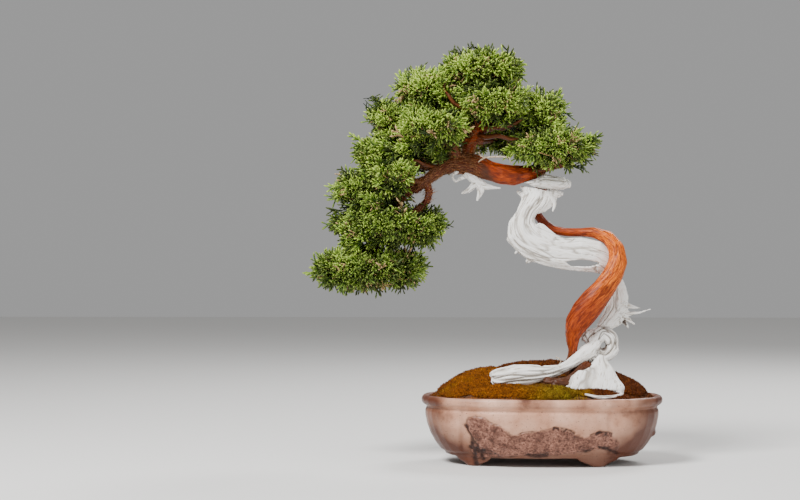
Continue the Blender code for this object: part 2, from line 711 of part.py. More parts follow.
def build_jin(grow=0.0):
    """Bleached broken branch that hangs under the crown limb."""
    first, *others = JIN.values()
    return join_limbs("deadwood_jin", first, others, grow)


def build_dry_twig(grow=0.0):
    """Bare forked twig in front of the crown limb."""
    first, *others = DRY_TWIG.values()
    return join_limbs("dry_twig", first, others, grow)


def build_foliage(name, grow=0.0):
    """Foliage pad: a lumpy cushion, flatter below."""
    x, y, z, half_length, half_depth, half_height = FOLIAGE[name]
    scale = tree_scale()
    bm = bmesh.new()
    bmesh.ops.create_uvsphere(bm, u_segments=14, v_segments=8, radius=1)
    bmesh.ops.triangulate(bm, faces=bm.faces, quad_method="FIXED")
    centre = tree_point(x, y, z)
    for vert in bm.verts:
        nx, ny, nz = vert.co
        swell = 1 + FOLIAGE_LUMPS * (math.sin(4.1 * nx + 0.05 * x) * math.cos(3.7 * ny + 0.03 * z)
                                     + 0.6 * math.sin(6.3 * ny + 5.0 * nx))
        flat = FOLIAGE_FLATNESS if nz < 0 else 1.0
        vert.co = centre + Vector((nx * (half_length * scale * swell + grow),
                                   ny * (half_depth * scale * swell + grow),
                                   nz * (half_height * scale * flat * swell + grow)))
    return object_from(bm, name)


# Assembly.

def boxes_meet(piece, other):
    """Whether two objects' boxes overlap."""
    for axis in range(3):
        ours = [vert.co[axis] for vert in piece.data.vertices]
        theirs = [vert.co[axis] for vert in other.data.vertices]
        if min(ours) > max(theirs) or min(theirs) > max(ours):
            return False
    return True


def cut_clear(piece, makers, tangled=False):
    """Cut a piece by grown copies of its neighbours, so that a clearance stays between them."""
    for maker in makers:
        tool = maker(grow=CLEARANCE)
        if boxes_meet(piece, tool):
            combine(piece, tool, "DIFFERENCE", tangled)
        else:
            bpy.data.objects.remove(tool)
    keep_main_body(piece)


def build_wood():
    """All the wood, each piece cut clear of the ones before it."""
    order = (
        (build_live_trunk, "bark"),
        (build_deadwood_trunk, "deadwood"),
        (build_crown_plate, "deadwood"),
        (build_deadwood_lower, "deadwood"),
        (build_knot_root, "deadwood"),
        (build_front_root, "deadwood"),
        (build_bark_root, "bark"),
        (build_rim_root, "deadwood"),
        (build_jin, "deadwood"),
        (build_dry_twig, "twig"),
    )
    pieces = []
    makers = []
    for maker, material in order:
        piece = maker()
        cut_clear(piece, makers, tangled=True)
        makers.append(maker)
        pieces.append((piece, material))
    return pieces, makers


def named_makers(maker, names):
    """Makers of the named pieces, which take only how much to grow."""
    return [lambda grow=0.0, name=name: maker(name, grow=grow) for name in names]


def build_ground(wood_makers):
    """Soil and moss, cut clear of the wood that stands in them."""
    soil = build_soil()
    for side in (-1, 1):
        combine(soil, pocket_cutter(side), "DIFFERENCE")
    cut_clear(soil, wood_makers)
    pieces = [(soil, "soil")]
    makers = [build_soil, *wood_makers]
    for maker in named_makers(build_moss, MOSS):
        patch = maker()
        cut_clear(patch, makers)
        makers.append(maker)
        pieces.append((patch, "moss"))
    return pieces


def build_crown(wood_makers):
    """Foliage pads, cut clear of the branches and of each other."""
    pieces = []
    makers = list(wood_makers)
    for maker in named_makers(build_foliage, FOLIAGE):
        pad = maker()
        cut_clear(pad, makers)
        makers.append(maker)
        pieces.append((pad, "foliage"))
    return pieces


def build_pot_parts():
    """The pot, its two drain screens and their clips."""
    pieces = [(build_pot(), "pot")]
    for side, word in ((-1, "left"), (1, "right")):
        pieces.append((build_screen(side, "drain_screen_" + word), "screen"))
        pieces.append((build_clip(side, "drain_clip_" + word), "wire"))
    return pieces


def put_in_collection(pieces, materials):
    """Give each piece its material and move it into the object's collection."""
    collection = bpy.data.collections.new("bonsai")
    bpy.context.scene.collection.children.link(collection)
    for piece, material in pieces:
        for old in list(piece.users_collection):
            old.objects.unlink(piece)
        collection.objects.link(piece)
        piece.data.materials.clear()
        piece.data.materials.append(materials[material])
        if piece.type == "MESH":
            piece.data.shade_smooth()
            piece.data.set_sharp_from_angle(angle=math.radians(50))
    return collection


def centre_on_footprint(pieces, collection):
    """Move the whole object so that the middle of its box stands on the origin."""
    bpy.context.view_layer.update()
    corners = [piece.matrix_world @ Vector(corner) for piece, _ in pieces for corner in piece.bound_box]
    middle = [(min(c[axis] for c in corners) + max(c[axis] for c in corners)) / 2 for axis in (0, 1)]
    frame = bpy.data.objects.new("frame", None)
    collection.objects.link(frame)
    for piece, _ in pieces:
        piece.parent = frame
    frame.location = (-middle[0], -middle[1], 0)


def main():
    """Build the whole potted tree."""
    clear_scene()
    materials = make_materials()
    pieces = build_pot_parts()
    wood, wood_makers = build_wood()
    pieces += build_ground(wood_makers)
    pieces += wood
    pieces += build_crown(wood_makers)
    collection = put_in_collection(pieces, materials)
    centre_on_footprint(pieces, collection)


main()
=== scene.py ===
"""Looks of a potted juniper bonsai: bark, bleached wood, foliage, moss, soil and the fired pot.

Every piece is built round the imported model, in metres. Sizes inside the classes are metres too.
Places on the tree, and the reaches measured round them, are millimetres from the pot's middle.
"""
import logging
import math
from dataclasses import dataclass, field
from enum import Enum

import bpy
import numpy as np
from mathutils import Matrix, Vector


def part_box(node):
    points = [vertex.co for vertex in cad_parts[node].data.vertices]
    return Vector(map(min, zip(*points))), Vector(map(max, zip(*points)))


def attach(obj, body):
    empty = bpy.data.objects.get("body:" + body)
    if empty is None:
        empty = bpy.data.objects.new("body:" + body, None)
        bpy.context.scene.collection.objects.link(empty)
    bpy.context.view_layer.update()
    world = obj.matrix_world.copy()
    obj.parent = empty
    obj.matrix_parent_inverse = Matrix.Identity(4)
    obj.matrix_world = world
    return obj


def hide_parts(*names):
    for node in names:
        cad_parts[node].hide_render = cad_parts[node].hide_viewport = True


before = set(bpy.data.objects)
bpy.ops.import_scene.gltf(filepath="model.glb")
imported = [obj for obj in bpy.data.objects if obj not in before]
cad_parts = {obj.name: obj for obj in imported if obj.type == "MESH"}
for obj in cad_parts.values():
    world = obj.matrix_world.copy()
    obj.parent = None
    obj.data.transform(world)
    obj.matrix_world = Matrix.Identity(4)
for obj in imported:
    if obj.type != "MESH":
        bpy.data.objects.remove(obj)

LOG = logging.getLogger("bonsai")
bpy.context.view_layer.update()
MM = 0.001
PATCH_UV = "OFBake"
SPIN = 6.28  # a whole turn, near enough for a random spin
THIRDS = (0, 2.094, 4.189)  # corners round a small three-sided cone
CONE_FACES = np.array([(0, 1, 3), (1, 2, 3), (2, 0, 3)])
UP = np.array([0.0, 0.0, 1.0])
TINY = 1e-12  # added to a length that may be zero
Array = np.ndarray
Chance = np.random.Generator
Material, Mesh, Piece = bpy.types.Material, bpy.types.Mesh, bpy.types.Object
Socket = bpy.types.NodeSocket
Colour = tuple[float, float, float]
Place = tuple[float, float, float]


# ==== Places and noise ====

def pot_middle() -> Array:
    """Middle of the pot's box, on the level of its feet."""
    low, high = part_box("pot")
    return np.array([(low[0] + high[0]) / 2, (low[1] + high[1]) / 2, low[2]])


def from_pot(points: object) -> Array:
    """Turn millimetres from the pot's middle into metres in the frame.

    Args:
        points: one (x, y, z) or a list of them.

    Returns:
        The same points as an array in metres.
    """
    return np.asarray(points, float) * MM + pot_middle()


def in_pot(points: Array) -> Array:
    """Turn metres in the frame into rows of x, y and z, in millimetres from the pot's middle."""
    return ((points - pot_middle()) / MM).T


def unit(ways: Array, least: float = 0.0) -> Array:
    """Bring every direction to a length of 1; least is added to each length first."""
    return ways / (np.linalg.norm(ways, axis=1)[:, None] + least)


def square_to(way: Array, first: int, second: int) -> tuple[Array, Array]:
    """Two directions square to a way.

    Args:
        way: unit direction.
        first: axis from which they are found.
        second: axis to use where the way runs nearly along the first.

    Returns:
        Two unit directions.
    """
    side = np.cross(way, np.eye(3)[first if abs(way[first]) < 0.8 else second])
    side /= np.linalg.norm(side)
    return side, np.cross(way, side)


def lattice_noise(points: Array, seed: int) -> Array:
    """Smooth value noise.

    Args:
        points: (n, 3) points, one lattice cell to the unit.
        seed: which noise.

    Returns:
        n values from -1 to 1.
    """
    cell = np.floor(points).astype(np.int64)
    part = points - cell
    fade = part * part * (3 - 2 * part)
    total = np.zeros(len(points))
    for dx in (0, 1):
        for dy in (0, 1):
            for dz in (0, 1):
                key = ((cell[:, 0] + dx) * 73856093) ^ ((cell[:, 1] + dy) * 19349663)
                key ^= ((cell[:, 2] + dz) * 83492791) ^ (seed * 7919 + 17)
                key = (key ^ (key >> 13)) * 1274126177
                key = (key ^ (key >> 15)) & 0xFFFF
                weight = np.abs(1 - dx - fade[:, 0]) * np.abs(1 - dy - fade[:, 1])
                total += weight * np.abs(1 - dz - fade[:, 2]) * (key / 32767.5 - 1)
    return total


def layered_noise(points: Array, seed: int, layers: int = 3) -> Array:
    """Noise with finer layers on top, each half as strong.

    Args:
        points: (n, 3) points in cells of the coarsest layer.
        seed: which noise.
        layers: how many layers.

    Returns:
        n values, about -1 to 1.
    """
    total = np.zeros(len(points))
    for layer in range(layers):
        total += lattice_noise(points * 2 ** layer + 31.7 * layer, seed + layer) / 2 ** layer
    return total / 1.6


def smooth_step(low: float, high: float, values: Array) -> Array:
    """Rise smoothly from 0 at low to 1 at high."""
    t = np.clip((values - low) / (high - low), 0, 1)
    return t * t * (3 - 2 * t)


# ==== Mesh helpers ====

def mesh_from_arrays(name: str, points: Array, faces: Array, patch: Array | None = None) -> Piece:
    """Make an object from arrays.

    Args:
        name: the piece's name.
        points: (n, 3) points.
        faces: (m, 3) or (m, 4) point numbers.
        patch: (n, 2) place of each point in the colour patch, or None.

    Returns:
        The new object, shaded smooth.
    """
    mesh = bpy.data.meshes.new(name)
    corners = faces.shape[1]
    mesh.vertices.add(len(points))
    mesh.vertices.foreach_set("co", np.ascontiguousarray(points, np.float32).ravel())
    mesh.loops.add(faces.size)
    mesh.loops.foreach_set("vertex_index", np.ascontiguousarray(faces, np.int32).ravel())
    mesh.polygons.add(len(faces))
    mesh.polygons.foreach_set("loop_start", np.arange(len(faces), dtype=np.int32) * corners)
    mesh.polygons.foreach_set("use_smooth", np.ones(len(faces), bool))
    mesh.update(calc_edges=True)
    if patch is not None:
        layer = mesh.uv_layers.new(name=PATCH_UV)
        layer.data.foreach_set("uv", patch[faces.ravel()].astype(np.float32).ravel())
    piece = bpy.data.objects.new(name, mesh)
    bpy.context.scene.collection.objects.link(piece)
    return piece


def read_rows(items: object, name: str, width: int, kind: type = np.float32) -> Array:
    """Read one row of numbers from each item in a list that a mesh holds.

    Args:
        items: the list.
        name: what is read from each item.
        width: how many numbers an item gives.
        kind: type of the numbers.

    Returns:
        One row for each item.
    """
    flat = np.empty(len(items) * width, kind)
    items.foreach_get(name, flat)
    return flat.reshape(-1, width)


def points_of(mesh: Mesh) -> Array:
    """All points of a mesh."""
    return read_rows(mesh.vertices, "co", 3).astype(float)


def normals_of(mesh: Mesh) -> Array:
    """Outward direction at every point of a mesh."""
    return read_rows(mesh.vertex_normals, "vector", 3).astype(float)


def surface_of(mesh: Mesh) -> tuple[Array, Array]:
    """All points of a mesh and the outward direction at each."""
    return points_of(mesh), normals_of(mesh)


def triangles_of(mesh: Mesh) -> Array:
    """All triangles of a mesh, as point numbers."""
    mesh.calc_loop_triangles()
    return read_rows(mesh.loop_triangles, "vertices", 3, np.int32)


def edges_of(mesh: Mesh) -> Array:
    """All edges of a mesh, as point numbers."""
    return read_rows(mesh.edges, "vertices", 2, np.int32)


def set_points(mesh: Mesh, points: Array) -> None:
    """Move all points of a mesh."""
    mesh.vertices.foreach_set("co", np.ascontiguousarray(points, np.float32).ravel())
    mesh.update()


def set_values(mesh: Mesh, name: str, values: Array) -> None:
    """Store values for the points of a mesh under a name that a finish reads.

    Args:
        mesh: the mesh.
        name: the name that a finish reads.
        values: one number, or three, for each point.
    """
    if values.ndim == 1:
        layer = mesh.attributes.new(name, "FLOAT", "POINT")
        layer.data.foreach_set("value", values.astype(np.float32))
    else:
        layer = mesh.attributes.new(name, "FLOAT_VECTOR", "POINT")
        layer.data.foreach_set("vector", values.astype(np.float32).ravel())


def relax(points: Array, edges: Array, rounds: int, pull: float = 0.5, push: float = 0.52) -> Array:
    """Smooth a mesh without making it thinner: draw points to their neighbours, then push back.

    Args:
        points: (n, 3) points.
        edges: (e, 2) point numbers.
        rounds: how many times.
        pull: share of the way towards the neighbours.
        push: share of the way back.

    Returns:
        The moved points.
    """
    count = np.maximum(np.bincount(edges.ravel(), minlength=len(points)), 1)[:, None]
    ends = np.concatenate([edges[:, 0], edges[:, 1]])
    others = np.concatenate([edges[:, 1], edges[:, 0]])
    for step in (pull, -push) * rounds:
        total = np.empty_like(points)
        for axis in range(3):
            total[:, axis] = np.bincount(ends, points[others, axis], len(points))
        points = points + step * (total / count - points)
    return points


def fine_copy(name: str, node: str, voxel: float, rounds: int) -> Piece:
    """Fine, softened copy of a CAD node to carve detail into.

    Args:
        name: the new piece's name.
        node: the CAD node.
        voxel: size of the copy's mesh in metres.
        rounds: how much it is softened.

    Returns:
        The new object.
    """
    piece = bpy.data.objects.new(name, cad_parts[node].data.copy())
    bpy.context.scene.collection.objects.link(piece)
    modifier = piece.modifiers.new("remesh", "REMESH")
    modifier.mode = "VOXEL"
    modifier.voxel_size = voxel
    depsgraph = bpy.context.evaluated_depsgraph_get()
    mesh = bpy.data.meshes.new_from_object(piece.evaluated_get(depsgraph))
    piece.modifiers.clear()
    piece.data = mesh
    mesh.name = name
    mesh.materials.clear()
    for layer in list(mesh.uv_layers):
        mesh.uv_layers.remove(layer)
    set_points(mesh, relax(points_of(mesh), edges_of(mesh), rounds))
    mesh.shade_smooth()
    return piece


def joined(parts: list[tuple[Array, ...]]) -> list[Array]:
    """Join several meshes into one.

    Args:
        parts: the points, faces and any further values of each mesh.

    Returns:
        The joined points, faces and further values.
    """
    starts = np.cumsum([0] + [len(part[0]) for part in parts[:-1]])
    moved = [(part[0], part[1] + start, *part[2:]) for part, start in zip(parts, starts)]
    return [np.concatenate(column) for column in zip(*moved)]


def copies(shape: Array, faces: Array, turns: Array, sizes: Array,
           places: Array) -> tuple[Array, Array]:
    """Set out turned and scaled copies of one small shape.

    Args:
        shape: (p, 3) points of the shape, or (n, p, 3) where each copy has its own.
        faces: its triangles.
        turns: (n, 3, 3) rotations.
        sizes: n scales.
        places: (n, 3) places.

    Returns:
        All points and all triangles.
    """
    rule = "nij,pj->npi" if shape.ndim == 2 else "nij,npj->npi"
    placed = np.einsum(rule, turns, shape) * sizes[:, None, None] + places[:, None, :]
    numbers = np.arange(len(places)) * placed.shape[1]
    return placed.reshape(-1, 3), (faces[None] + numbers[:, None, None]).reshape(-1, 3)


def cone(width: float, foot: float, height: float) -> Array:
    """Points of a three-sided cone along +Z, from the level of its foot to its tip."""
    return np.array([(math.cos(a) * width, math.sin(a) * width, foot) for a in THIRDS]
                    + [(0, 0, height)])


def seat(piece: Piece, material: Material, slot: str, *nodes: str) -> None:
    """Dress a piece, ride it on the tree's one body and let it stand for its CAD nodes.

    Args:
        piece: the new piece.
        material: its finish.
        slot: the record's material slot; not used.
        nodes: the CAD nodes that it stands for.
    """
    piece.data.materials.clear()
    piece.data.materials.append(material)
    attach(piece, "root")
    if nodes:
        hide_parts(*nodes)
    LOG.info("%s: %d faces", piece.name, len(piece.data.polygons))


# ==== Finishes ====

class NodeDesk:
    """Short words for wiring one material."""

    def __init__(self, name: str) -> None:
        """Start an empty Principled material with a name.

        Args:
            name: the material's name.
        """
        self.material = bpy.data.materials.new(name)
        self.material.use_nodes = True
        self.tree = self.material.node_tree
        self.shader = self.tree.nodes["Principled BSDF"]

    def node(self, kind: str, **values: object) -> bpy.types.Node:
        """Add a node.

        Args:
            kind: Blender's name for the node.
            values: its properties, or its sockets where the name is one.

        Returns:
            The node.
        """
        item = self.tree.nodes.new(kind)
        for key, value in values.items():
            word = key.replace("_", " ").title()
            if word in item.inputs:
                item.inputs[word].default_value = value
            else:
                setattr(item, key, value)
        return item

    def feed(self, source: Socket | Colour | float, target: Socket) -> None:
        """Wire a socket to another, or set it to a plain colour or number.

        Args:
            source: a socket, or a plain colour or number.
            target: the socket to feed.
        """
        if isinstance(source, Socket):
            self.tree.links.new(source, target)
        else:
            target.default_value = (*source, 1.0) if isinstance(source, tuple) else source

    def value(self, name: str) -> Socket:
        """A number stored on the mesh."""
        return self.node("ShaderNodeAttribute", attribute_name=name).outputs["Fac"]

    def place(self, name: str) -> Socket:
        """Three numbers stored on the mesh, as a place."""
        return self.node("ShaderNodeAttribute", attribute_name=name).outputs["Vector"]

    def noise(self, where: Socket | None, scale: float, detail: float = 4.0,
              rough: float = 0.55) -> Socket:
        """Noise over a place.

        Args:
            where: the place, or None for the object's own.
            scale: how fine the noise is.
            detail: how many layers it has.
            rough: how strong the finer layers are.

        Returns:
            The noise's socket.
        """
        item = self.node("ShaderNodeTexNoise", scale=scale, detail=detail, roughness=rough)
        if where is None:
            where = self.node("ShaderNodeTexCoord").outputs["Object"]
        self.feed(where, item.inputs["Vector"])
        return item.outputs["Fac"]

    def ramp(self, source: Socket, *stops: tuple[float, Colour]) -> Socket:
        """Colour from a number.

        Args:
            source: the number.
            stops: places along the number's span, each with its colour.

        Returns:
            The colour's socket.
        """
        item = self.node("ShaderNodeValToRGB")
        steps = item.color_ramp.elements
        while len(steps) < len(stops):
            steps.new(0.5)
        for step, (place, colour) in zip(steps, stops):
            step.position = place
            step.color = (*colour, 1.0)
        self.feed(source, item.inputs["Fac"])
        return item.outputs["Color"]

    def blend(self, share: Socket | float, under: Socket,
              over: Socket | Colour, way: str = "MIX") -> Socket:
        """Lay one colour over another by a share.

        Args:
            share: share of the upper colour.
            under: the colour below.
            over: the colour laid on.
            way: how the two mix.

        Returns:
            The mixed colour's socket.
        """
        item = self.node("ShaderNodeMix", data_type="RGBA", blend_type=way)
        for number, source in ((0, share), (6, under), (7, over)):
            self.feed(source, item.inputs[number])
        return item.outputs[2]

    def lay(self, under: Socket, over: Socket | Colour, source: Socket, low: float, high: float,
            most: float = 1.0) -> Socket:
        """Lay a colour over another where a number rises from low to high.

        Args:
            under: the colour below.
            over: the colour laid on.
            source: the number.
            low: where the upper colour starts.
            high: where it is strongest.
            most: its share there.

        Returns:
            The mixed colour's socket.
        """
        item = self.node("ShaderNodeMapRange", clamp=True)
        for socket, number in zip(item.inputs[:5], (source, low, high, 0.0, most)):
            self.feed(number, socket)
        return self.blend(item.outputs[0], under, over)

    def relief(self, height: Socket, depth: float, strength: float = 0.6) -> None:
        """Fine relief that is too small to model.

        Args:
            height: where the surface stands high.
            depth: its depth in metres.
            strength: how strongly it shows.
        """
        item = self.node("ShaderNodeBump", strength=strength, distance=depth)
        self.feed(height, item.inputs["Height"])
        self.feed(item.outputs["Normal"], self.shader.inputs["Normal"])

    def finish(self, colour: Socket | Colour, roughness: float,
               specular: float = 0.5, metallic: float = 0.0) -> Material:
        """Set the surface's colour and sheen and hand over the material.

        Args:
            colour: the surface's colour.
            roughness: how dull it is.
            specular: how strongly it shines.
            metallic: how far it is metal.

        Returns:
            The material.
        """
        for word, source in (("Base Color", colour), ("Roughness", roughness),
                             ("Specular IOR Level", specular), ("Metallic", metallic)):
            self.feed(source, self.shader.inputs[word])
        return self.material


@dataclass(frozen=True)
class BarkFinish:
    """Thin red bark with fine grain along the limb, darker and rougher on the old branches, with a
    painted highlight on the high bend and painted shade in a fold and behind the bare neck.
    """

    painted_highlight: Colour = (0.96, 0.235, 0.006)
    light: Colour = (0.50, 0.078, 0.002)
    middle: Colour = (0.27, 0.032, 0.002)
    dark: Colour = (0.085, 0.009, 0.002)
    streak: Colour = (0.125, 0.012, 0.002)
    old_light: Colour = (0.175, 0.048, 0.011)
    old_dark: Colour = (0.024, 0.007, 0.0025)
    stain_and_shade_tone: Colour = (0.060, 0.024, 0.012)
    roughness: float = 0.43

    def material(self) -> Material:
        """Build the material.

        Returns:
            The material.
        """
        desk = NodeDesk("bark")
        grain = desk.place("grain")
        fibres = desk.noise(grain, 0.9, 6.0, 0.68)
        broad = desk.noise(grain, 0.25, 3.0)
        young = desk.ramp(fibres, (0.33, self.dark), (0.44, self.middle), (0.64, self.light))
        # painted highlight: a lighter copy of the grain, laid on at the high bend
        bright = desk.ramp(fibres, (0.31, self.middle), (0.45, self.light), (0.62, self.painted_highlight))
        young = desk.blend(desk.value("painted_highlight"), young, bright)
        young = desk.lay(young, self.dark, broad, 0.46, 0.74, 0.45)
        streaks = desk.noise(grain, 0.52, 5.0, 0.62)
        young = desk.lay(young, self.streak, streaks, 0.53, 0.61, 0.85)
        old = desk.ramp(fibres, (0.33, self.old_dark), (0.66, self.old_light))
        colour = desk.blend(desk.value("age"), young, old)
        # darker in the bark's grooves; painted shade on the bole where it passes behind the bare
        # neck
        colour = desk.lay(colour, self.dark, desk.value("groove_and_shade"), 0.15, 0.9, 0.8)
        # painted shade in the fold by the old bark; darker at the foot of the trunk
        colour = desk.blend(desk.value("stain_and_shade"), colour, self.stain_and_shade_tone)
        desk.relief(fibres, 0.0006, 0.6)
        return desk.finish(colour, self.roughness, 0.22)


@dataclass(frozen=True)
class DeadwoodFinish:
    """Bleached wood, chalk white with a few grey lines along its grain; painted shade greys its
    grooves and darkens its hollows and undersides.
    """

    white: Colour = (0.95, 0.935, 0.905)
    cream: Colour = (0.80, 0.755, 0.68)
    grey: Colour = (0.30, 0.255, 0.205)
    crack_and_shade: Colour = (0.075, 0.040, 0.024)
    roughness: float = 0.72

    def material(self) -> Material:
        """Build the material.

        Returns:
            The material.
        """
        desk = NodeDesk("deadwood")
        grain = desk.place("grain")
        fibres = desk.noise(grain, 0.55, 5.0, 0.55)
        broad = desk.noise(grain, 0.2, 3.0)
        colour = desk.ramp(fibres, (0.30, self.grey), (0.40, self.cream), (0.49, self.white))
        colour = desk.lay(colour, self.cream, broad, 0.50, 0.76, 0.7)
        # painted shade: grey in the grooves, flutes and the knot's folds
        colour = desk.lay(colour, self.grey, desk.value("groove_and_shade"), 0.15, 0.9, 0.85)
        # dark cracks, and painted shade in the hollows, the knot's folds and on the undersides
        colour = desk.blend(desk.value("stain_and_shade"), colour, self.crack_and_shade)
        desk.relief(fibres, 0.0007, 0.6)
        return desk.finish(colour, self.roughness)


@dataclass(frozen=True)
class FoliageFinish:
    """Scale-leaved shoots: dark at the base, fresh yellow-green at the tip."""

    base: Colour = (0.010, 0.020, 0.003)
    middle: Colour = (0.055, 0.135, 0.009)
    tip: Colour = (0.290, 0.450, 0.040)
    point: Colour = (0.600, 0.700, 0.170)
    withered_base: Colour = (0.100, 0.045, 0.015)
    withered_tip: Colour = (0.580, 0.400, 0.190)
    shades: tuple[tuple[float, Colour], ...] = (
        (0.0, (0.10, 0.09, 0.07)), (0.30, (0.36, 0.40, 0.30)), (0.60, (0.88, 0.90, 0.80)),
        (0.85, (1.0, 0.98, 0.95)), (1.0, (0.9, 0.9, 0.9)))
    roughness: float = 0.5

    def material(self) -> Material:
        """Build the material; its colour depends only on the place in the colour patch.

        Returns:
            The material.
        """
        desk = NodeDesk("foliage")
        patch = desk.node("ShaderNodeUVMap", uv_map=PATCH_UV)
        parts = desk.node("ShaderNodeSeparateXYZ")
        desk.feed(patch.outputs["UV"], parts.inputs["Vector"])
        along = desk.ramp(parts.outputs["X"], (0.0, self.base), (0.40, self.middle),
                          (0.78, self.tip), (1.0, self.point))
        withered = desk.ramp(parts.outputs["X"], (0.0, self.withered_base),
                             (1.0, self.withered_tip))
        along = desk.lay(along, withered, parts.outputs["Y"], 0.87, 0.90)
        # the patch's second place carries painted light and shade, random tone and withered sprays
        shade = desk.ramp(parts.outputs["Y"], *self.shades)
        return desk.finish(desk.blend(1.0, along, shade, "MULTIPLY"), self.roughness, 0.3)


@dataclass(frozen=True)
class MossFinish:
    """Cushion moss: orange-brown, fresh olive where it is moist, dark red-brown where it is dry,
    with painted shade under the rim root and between its humps.
    """

    deep: Colour = (0.105, 0.030, 0.002)
    body: Colour = (0.270, 0.075, 0.004)
    bright: Colour = (0.560, 0.215, 0.022)
    fresh_deep: Colour = (0.085, 0.052, 0.002)
    fresh_body: Colour = (0.250, 0.165, 0.006)
    fresh_bright: Colour = (0.450, 0.370, 0.035)
    dry_deep: Colour = (0.020, 0.0035, 0.001)
    dry_body: Colour = (0.092, 0.018, 0.003)
    dry_bright: Colour = (0.290, 0.085, 0.014)
    roughness: float = 0.95

    def material(self) -> Material:
        """Build the material.

        Returns:
            The material.
        """
        desk = NodeDesk("moss")
        fine = desk.noise(None, 420.0, 5.0, 0.75)
        mottle = desk.noise(None, 70.0, 3.0)
        stops = (0.34, 0.50, 0.68)
        colour = desk.ramp(fine, *zip(stops, (self.deep, self.body, self.bright)))
        fresh = desk.ramp(fine, *zip(stops, (self.fresh_deep, self.fresh_body, self.fresh_bright)))
        dry = desk.ramp(fine, *zip(stops, (self.dry_deep, self.dry_body, self.dry_bright)))
        colour = desk.blend(desk.value("fresh"), colour, fresh)
        colour = desk.blend(desk.value("dry"), colour, dry)
        colour = desk.lay(colour, self.deep, mottle, 0.45, 0.66, 0.6)
        colour = desk.lay(colour, self.dry_deep, desk.value("shade"), 0.0, 1.0, 0.8)
        desk.relief(fine, 0.0015, 0.9)
        return desk.finish(colour, self.roughness, 0.15)


@dataclass(frozen=True)
class SoilFinish:
    """Fired clay grains and dark humus."""

    deep: Colour = (0.018, 0.007, 0.003)
    body: Colour = (0.100, 0.036, 0.012)
    bright: Colour = (0.27, 0.12, 0.045)
    roughness: float = 0.95

    def material(self) -> Material:
        """Build the material.

        Returns:
            The material.
        """
        desk = NodeDesk("soil")
        fine = desk.noise(None, 420.0, 4.0, 0.65)
        colour = desk.ramp(fine, (0.30, self.deep), (0.52, self.body), (0.75, self.bright))
        desk.relief(fine, 0.002, 0.8)
        return desk.finish(colour, self.roughness)


@dataclass(frozen=True)
class PotFinish:
    """Unglazed stoneware with a soft sheen, painted brown shade at the ends, foot and creases, and
    iron specks.
    """

    clay: Colour = (0.52, 0.260, 0.165)
    pale: Colour = (0.80, 0.490, 0.350)
    brown: Colour = (0.080, 0.019, 0.007)
    rock_pale: Colour = (0.36, 0.165, 0.115)
    rock_dark: Colour = (0.055, 0.017, 0.010)
    crack_and_shade: Colour = (0.026, 0.006, 0.003)
    roughness: float = 0.36

    def material(self) -> Material:
        """Build the material.

        Returns:
            The material.
        """
        desk = NodeDesk("pot")
        cloud = desk.noise(None, 16.0, 6.0, 0.6)
        speck = desk.noise(None, 480.0, 2.0, 0.5)
        sand = desk.noise(None, 330.0, 5.0, 0.75)
        colour = desk.ramp(cloud, (0.30, self.brown), (0.45, self.clay), (0.72, self.pale))
        # painted shade: brown at the ends, low on the body and in the creases, with the rim's
        # mottling
        colour = desk.blend(desk.value("mottle_and_shade"), colour, self.brown)
        rock = desk.ramp(sand, (0.36, self.rock_dark), (0.56, self.rock_pale), (0.74, self.clay))
        lumps = desk.noise(None, 75.0, 4.0, 0.6)
        rock = desk.lay(rock, self.rock_dark, lumps, 0.42, 0.62, 0.75)
        colour = desk.blend(desk.value("rock"), colour, rock)
        colour = desk.lay(colour, self.crack_and_shade, speck, 0.67, 0.72, 0.8)
        # dark cracks, and painted shadow along the relief's outline
        colour = desk.blend(desk.value("crack_and_shade"), colour, self.crack_and_shade)
        desk.relief(sand, 0.0008, 0.4)
        return desk.finish(colour, self.roughness, 0.28)


@dataclass(frozen=True)
class PlainFinish:
    """One even colour."""

    name: str
    colour: Colour
    roughness: float
    metallic: float = 0.0

    def material(self) -> Material:
        """Build the material."""
        return NodeDesk(self.name).finish(self.colour, self.roughness, metallic=self.metallic)


@dataclass(frozen=True)
class TwigFinish:
    """Bare twig: weathered tan with darker rings."""

    name: str = "twig"
    light: Colour = (0.62, 0.50, 0.36)
    dark: Colour = (0.24, 0.15, 0.09)
    roughness: float = 0.8

    def material(self) -> Material:
        """Build the material.

        Returns:
            The material.
        """
        desk = NodeDesk(self.name)
        fine = desk.noise(None, 380.0, 4.0, 0.6)
        colour = desk.ramp(fine, (0.34, self.dark), (0.55, self.light))
        desk.relief(fine, 0.0005, 0.6)
        return desk.finish(colour, self.roughness)


# ==== Wood ====

@dataclass
class GrainRun:
    """Line that the grain of a limb follows, in millimetres from the pot's middle."""

    stops: tuple[Place, ...]
    twist: float = 0.0

    def line(self, spacing: float = 3.0) -> Array:
        """Draw a smooth curve through the stops.

        Args:
            spacing: gap between its points in millimetres.

        Returns:
            The curve's points in metres.
        """
        stops = np.array([self.stops[0], *self.stops, self.stops[-1]], float)
        rows = []
        for p, q, r, s in zip(stops, stops[1:], stops[2:], stops[3:]):
            steps = max(int(np.linalg.norm(r - q) / spacing), 1)
            for t in np.arange(steps) / steps:
                rows.append(0.5 * (2 * q + (r - p) * t + (2 * p - 5 * q + 4 * r - s) * t * t
                                   + (3 * q - p - 3 * r + s) * t ** 3))
        rows.append(stops[-1])
        return from_pot(rows)


